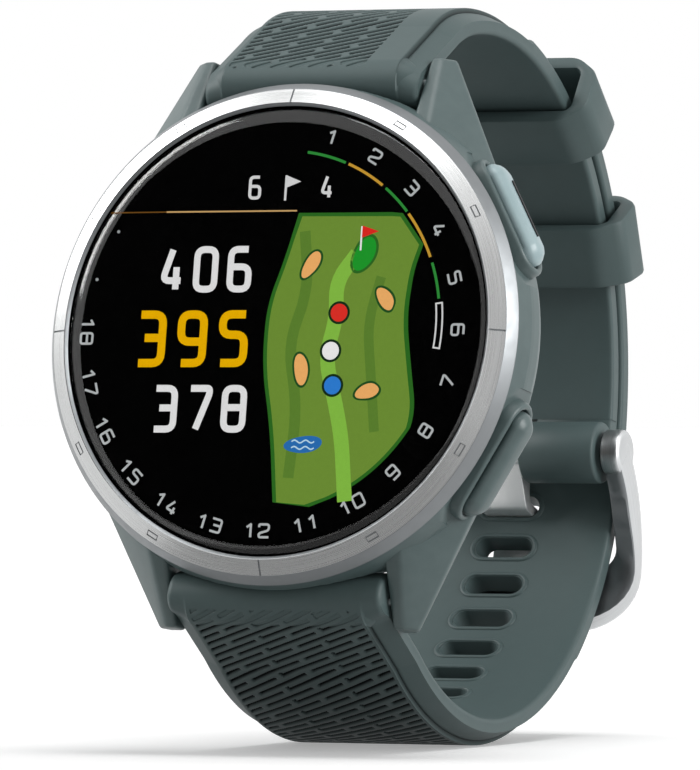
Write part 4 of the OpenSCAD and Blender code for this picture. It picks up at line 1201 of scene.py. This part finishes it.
NEAR = SLOT_W / 2 - 0.15
TONGUE_HALF, TONGUE_T = 2.3, 0.95
FAR = NEAR - TONGUE_T
tongue_side = rounded([
    BUCKLE_BAR + [0.6, 1.2], BUCKLE_BAR + [-1.2, 1], in_slot(0.4, -2.2), in_slot(NEAR, -1.6),
    in_slot(NEAR, 2.35), spoke(FRAME_CENTRE, FRAME_R - 0.9, 262), spoke(FRAME_CENTRE, FRAME_R - 0.12, 262),
    in_slot(NEAR - 0.4, 2.35 + TONGUE_T), in_slot(FAR, 2.85), in_slot(FAR, -1), in_slot(FAR - 0.5, -1.4),
    BUCKLE_BAR + [-0.4, -1.4], BUCKLE_BAR + [1, -1]], 0.6, closed=True, steps=5)
tongue_shell = plate(tongue_side, TONGUE_HALF, -TONGUE_HALF)
tongue_shell["points"] = tongue_shell["points"][:, [2, 0, 1]]
EYE = [(-2.3, 0.86), (-2.3, 1.4), (-2.18, 1.54), (2.18, 1.54), (2.3, 1.4), (2.3, 0.86)]
PIN = [(-11.7, 0), (-11.7, 0.6), (-11.55, 0.78), (11.55, 0.78), (11.7, 0.6), (11.7, 0)]
piece("buckle_tongue_dressed", [tongue_shell, turned_across(EYE, BUCKLE_BAR, ring=True)], "tongue",
      "brushed_steel", [painted_light_tongue_steel], ["buckle_tongue"], sharp=32, bevel=0.12)
piece("buckle_pin", [turned_across(PIN, BUCKLE_BAR, 32)], "watch", "bright_steel", [bright_steel],
      ["buckle_bar"])

# %% [markdown]
# ## The solids that stay
# The back cover, its screws, the charging contacts and everything inside the case show as they
# were packed, each in the finish of its real material.

# %% Finishes of the remaining solids
STAYING = [
    (black_rubber, "lens_gasket back_gasket upper_button_seal lower_button_seal"),
    (copper_film, "display_flex"),
    (dark_plastic, "chassis back_cover"),
    (tinned_steel, "gps_antenna shield_can motor_case upper_button_clip lower_button_clip "
                   "upper_button_spring lower_button_spring upper_bar_spring lower_bar_spring"),
    (board_laminate, "main_board"),
    (battery_foil, "battery"),
    (black_nylon, "battery_tray contact_block upper_switch lower_switch"),
    (tungsten, "motor_rotor"),
    (gold_plate, "contact_pins"),
    (bright_steel, "back_screws upper_button_stem lower_button_stem upper_bar lower_bar "
                   "upper_release_pin lower_release_pin"),
]
finish_of = {name: finish for finish, names in STAYING for name in names.split()}
staying = {name: solid for name, solid in frame["nodes"].items() if not solid.hide_render}
for name, solid in staying.items():
    solid.data.materials.clear()
    solid.data.materials.append(finish_of[name])
print(len(staying), "solids stay in sight")

# %% [markdown]
# ## Stage
# The watch stands on its strap on a white table, which glows a little for the camera, in
# reflections and through glass. A wide sun lights the table alone, so the strap's soft shadow
# still darkens it, and three lamps light all but the table. The world is white to the same three
# kinds of ray and a level grey light otherwise. Glass and steel mirror cards that are out of sight.

# %% Table and cards
TABLE_GLOW, WORLD_LIGHT = 0.33, 0.29


def seen_or_mirrored(made):
    """1 for camera, glossy and transmission rays, 0 for the rest: the largest of three flags."""
    path = add(made, "ShaderNodeLightPath")
    seen = path.outputs["Is Camera Ray"]
    for flag in ("Is Glossy Ray", "Is Transmission Ray"):
        seen = add(made, "ShaderNodeMath", {0: seen, 1: path.outputs[flag]}, operation="MAXIMUM").outputs[0]
    return seen


def sheet_at(name, middle, across, up, width, height):
    """A flat rectangle: its middle plus and minus half the width and height along two directions."""
    corners = [np.array(middle) + sx * np.array(across) * width / 2 + sy * np.array(up) * height / 2
               for sx, sy in [(-1, -1), (1, -1), (1, 1), (-1, 1)]]
    mesh = bpy.data.meshes.new(name)
    mesh.from_pydata([tuple(c) for c in corners], [], [(0, 1, 2, 3)])
    made = placed(name, mesh)
    return made


def toward(azimuth, elevation):
    """Direction from the watch: (sin a cos e, -cos a cos e, sin e)."""
    a, e = math.radians(azimuth), math.radians(elevation)
    return np.array([math.sin(a) * math.cos(e), -math.cos(a) * math.cos(e), math.sin(e)])


def finish_card(made, level):
    """Gives a card one even level of light and hides it from all but reflections."""
    grey = bpy.data.materials.new(made.name)
    grey.use_nodes = True
    nodes = grey.node_tree.nodes
    nodes.remove(nodes["Principled BSDF"])
    glow = add(grey, "ShaderNodeEmission", {"Color": (level, level, level, 1), "Strength": 1.0})
    link(grey, glow.outputs["Emission"], nodes["Material Output"].inputs["Surface"])
    made.data.materials.append(grey)
    for kind in ("camera", "diffuse", "transmission", "volume_scatter", "shadow"):
        setattr(made, "visible_" + kind, False)


def card(name, azimuth, elevation, distance, width, height, level):
    """A card seen only in reflections, facing the watch from an azimuth and elevation."""
    back, a = toward(azimuth, elevation), math.radians(azimuth)
    across = np.array([math.cos(a), math.sin(a), 0])
    up = np.cross(back, across)
    finish_card(sheet_at(name, CENTRE + back * distance, across, up, width, height), level)


table = sheet_at("table", (0, 1.0, 0), (1, 0, 0), (0, 1, 0), 8, 8)
table_white, table_shader = material("white_table", "#f4f4f4", 0.8)
table_shader.inputs["Emission Color"].default_value = (1, 1, 1, 1)
link(table_white, spread(table_white, seen_or_mirrored(table_white), 0.0, TABLE_GLOW),
     table_shader.inputs["Emission Strength"])
table.data.materials.append(table_white)
card("dark_card_for_glass", -12, 6, 0.42, 0.46, 0.4, 0.0)
card("grey_card_right", 44, 10, 0.45, 0.3, 0.5, 0.7)
floor_card = sheet_at("grey_card_on_table", (0.055, -0.145, 0.001), (1, 0, 0), (0, 1, 0), 0.19, 0.21)
finish_card(floor_card, 0.4)

# %% World, lamps and camera
LAMP_DISTANCE, LAMP_SIZE = 0.9, 0.5
SUN_STRENGTH, SUN_ANGLE, SUN_LEAN = 1.6, math.radians(35), (math.radians(-8), math.radians(4), 0)
world = bpy.data.worlds.new("studio")
bpy.context.scene.world = world
world.use_nodes = True
world.node_tree.nodes.clear()
strength = spread(world, seen_or_mirrored(world), WORLD_LIGHT, 1.0)
light = add(world, "ShaderNodeBackground", {"Color": (1, 1, 1, 1), "Strength": strength})
link(world, light.outputs["Background"], add(world, "ShaderNodeOutputWorld").inputs["Surface"])


def lamp(name, azimuth, elevation, watts):
    """A square soft lamp that faces the watch from an azimuth and elevation."""
    back = toward(azimuth, elevation)
    data = bpy.data.lights.new(name, "AREA")
    data.size = LAMP_SIZE
    data.energy = watts
    made = placed(name, data)
    made.location = tuple(CENTRE + back * LAMP_DISTANCE)
    made.rotation_mode = "QUATERNION"
    made.rotation_quaternion = Vector(-back).to_track_quat("-Z", "Y")
    return made


lamps = [lamp("left_lamp", -72, 34, 6.5), lamp("right_lamp", 88, 18, 7.0), lamp("top_lamp", 10, 80, 3.0)]
sun = bpy.data.lights.new("table_sun", "SUN")
sun.energy, sun.angle = SUN_STRENGTH, SUN_ANGLE
table_sun = placed("table_sun", sun)
table_sun.rotation_euler = SUN_LEAN
only_table = bpy.data.collections.new("lit_by_the_sun")
only_table.objects.link(table)
table_sun.light_linking.receiver_collection = only_table
kept_dark = bpy.data.collections.new("not_lit_by_lamps")
kept_dark.objects.link(table)
kept_dark.collection_objects[0].light_linking.link_state = "EXCLUDE"
for each in lamps:
    each.light_linking.receiver_collection = kept_dark

AIM = np.array([-4.57, -0.28, 31.68]) * MM
AZIMUTH, DISTANCE = 23.6, 0.762
camera = placed("camera", bpy.data.cameras.new("camera"))
camera.data.lens, camera.data.sensor_width, camera.data.clip_start = 402, 36, 0.01
camera.location = tuple(AIM + DISTANCE * toward(AZIMUTH, 0))
camera.rotation_euler = (math.radians(90), 0, math.radians(AZIMUTH))
bpy.context.scene.camera = camera
bpy.context.scene.view_settings.view_transform = "Standard"
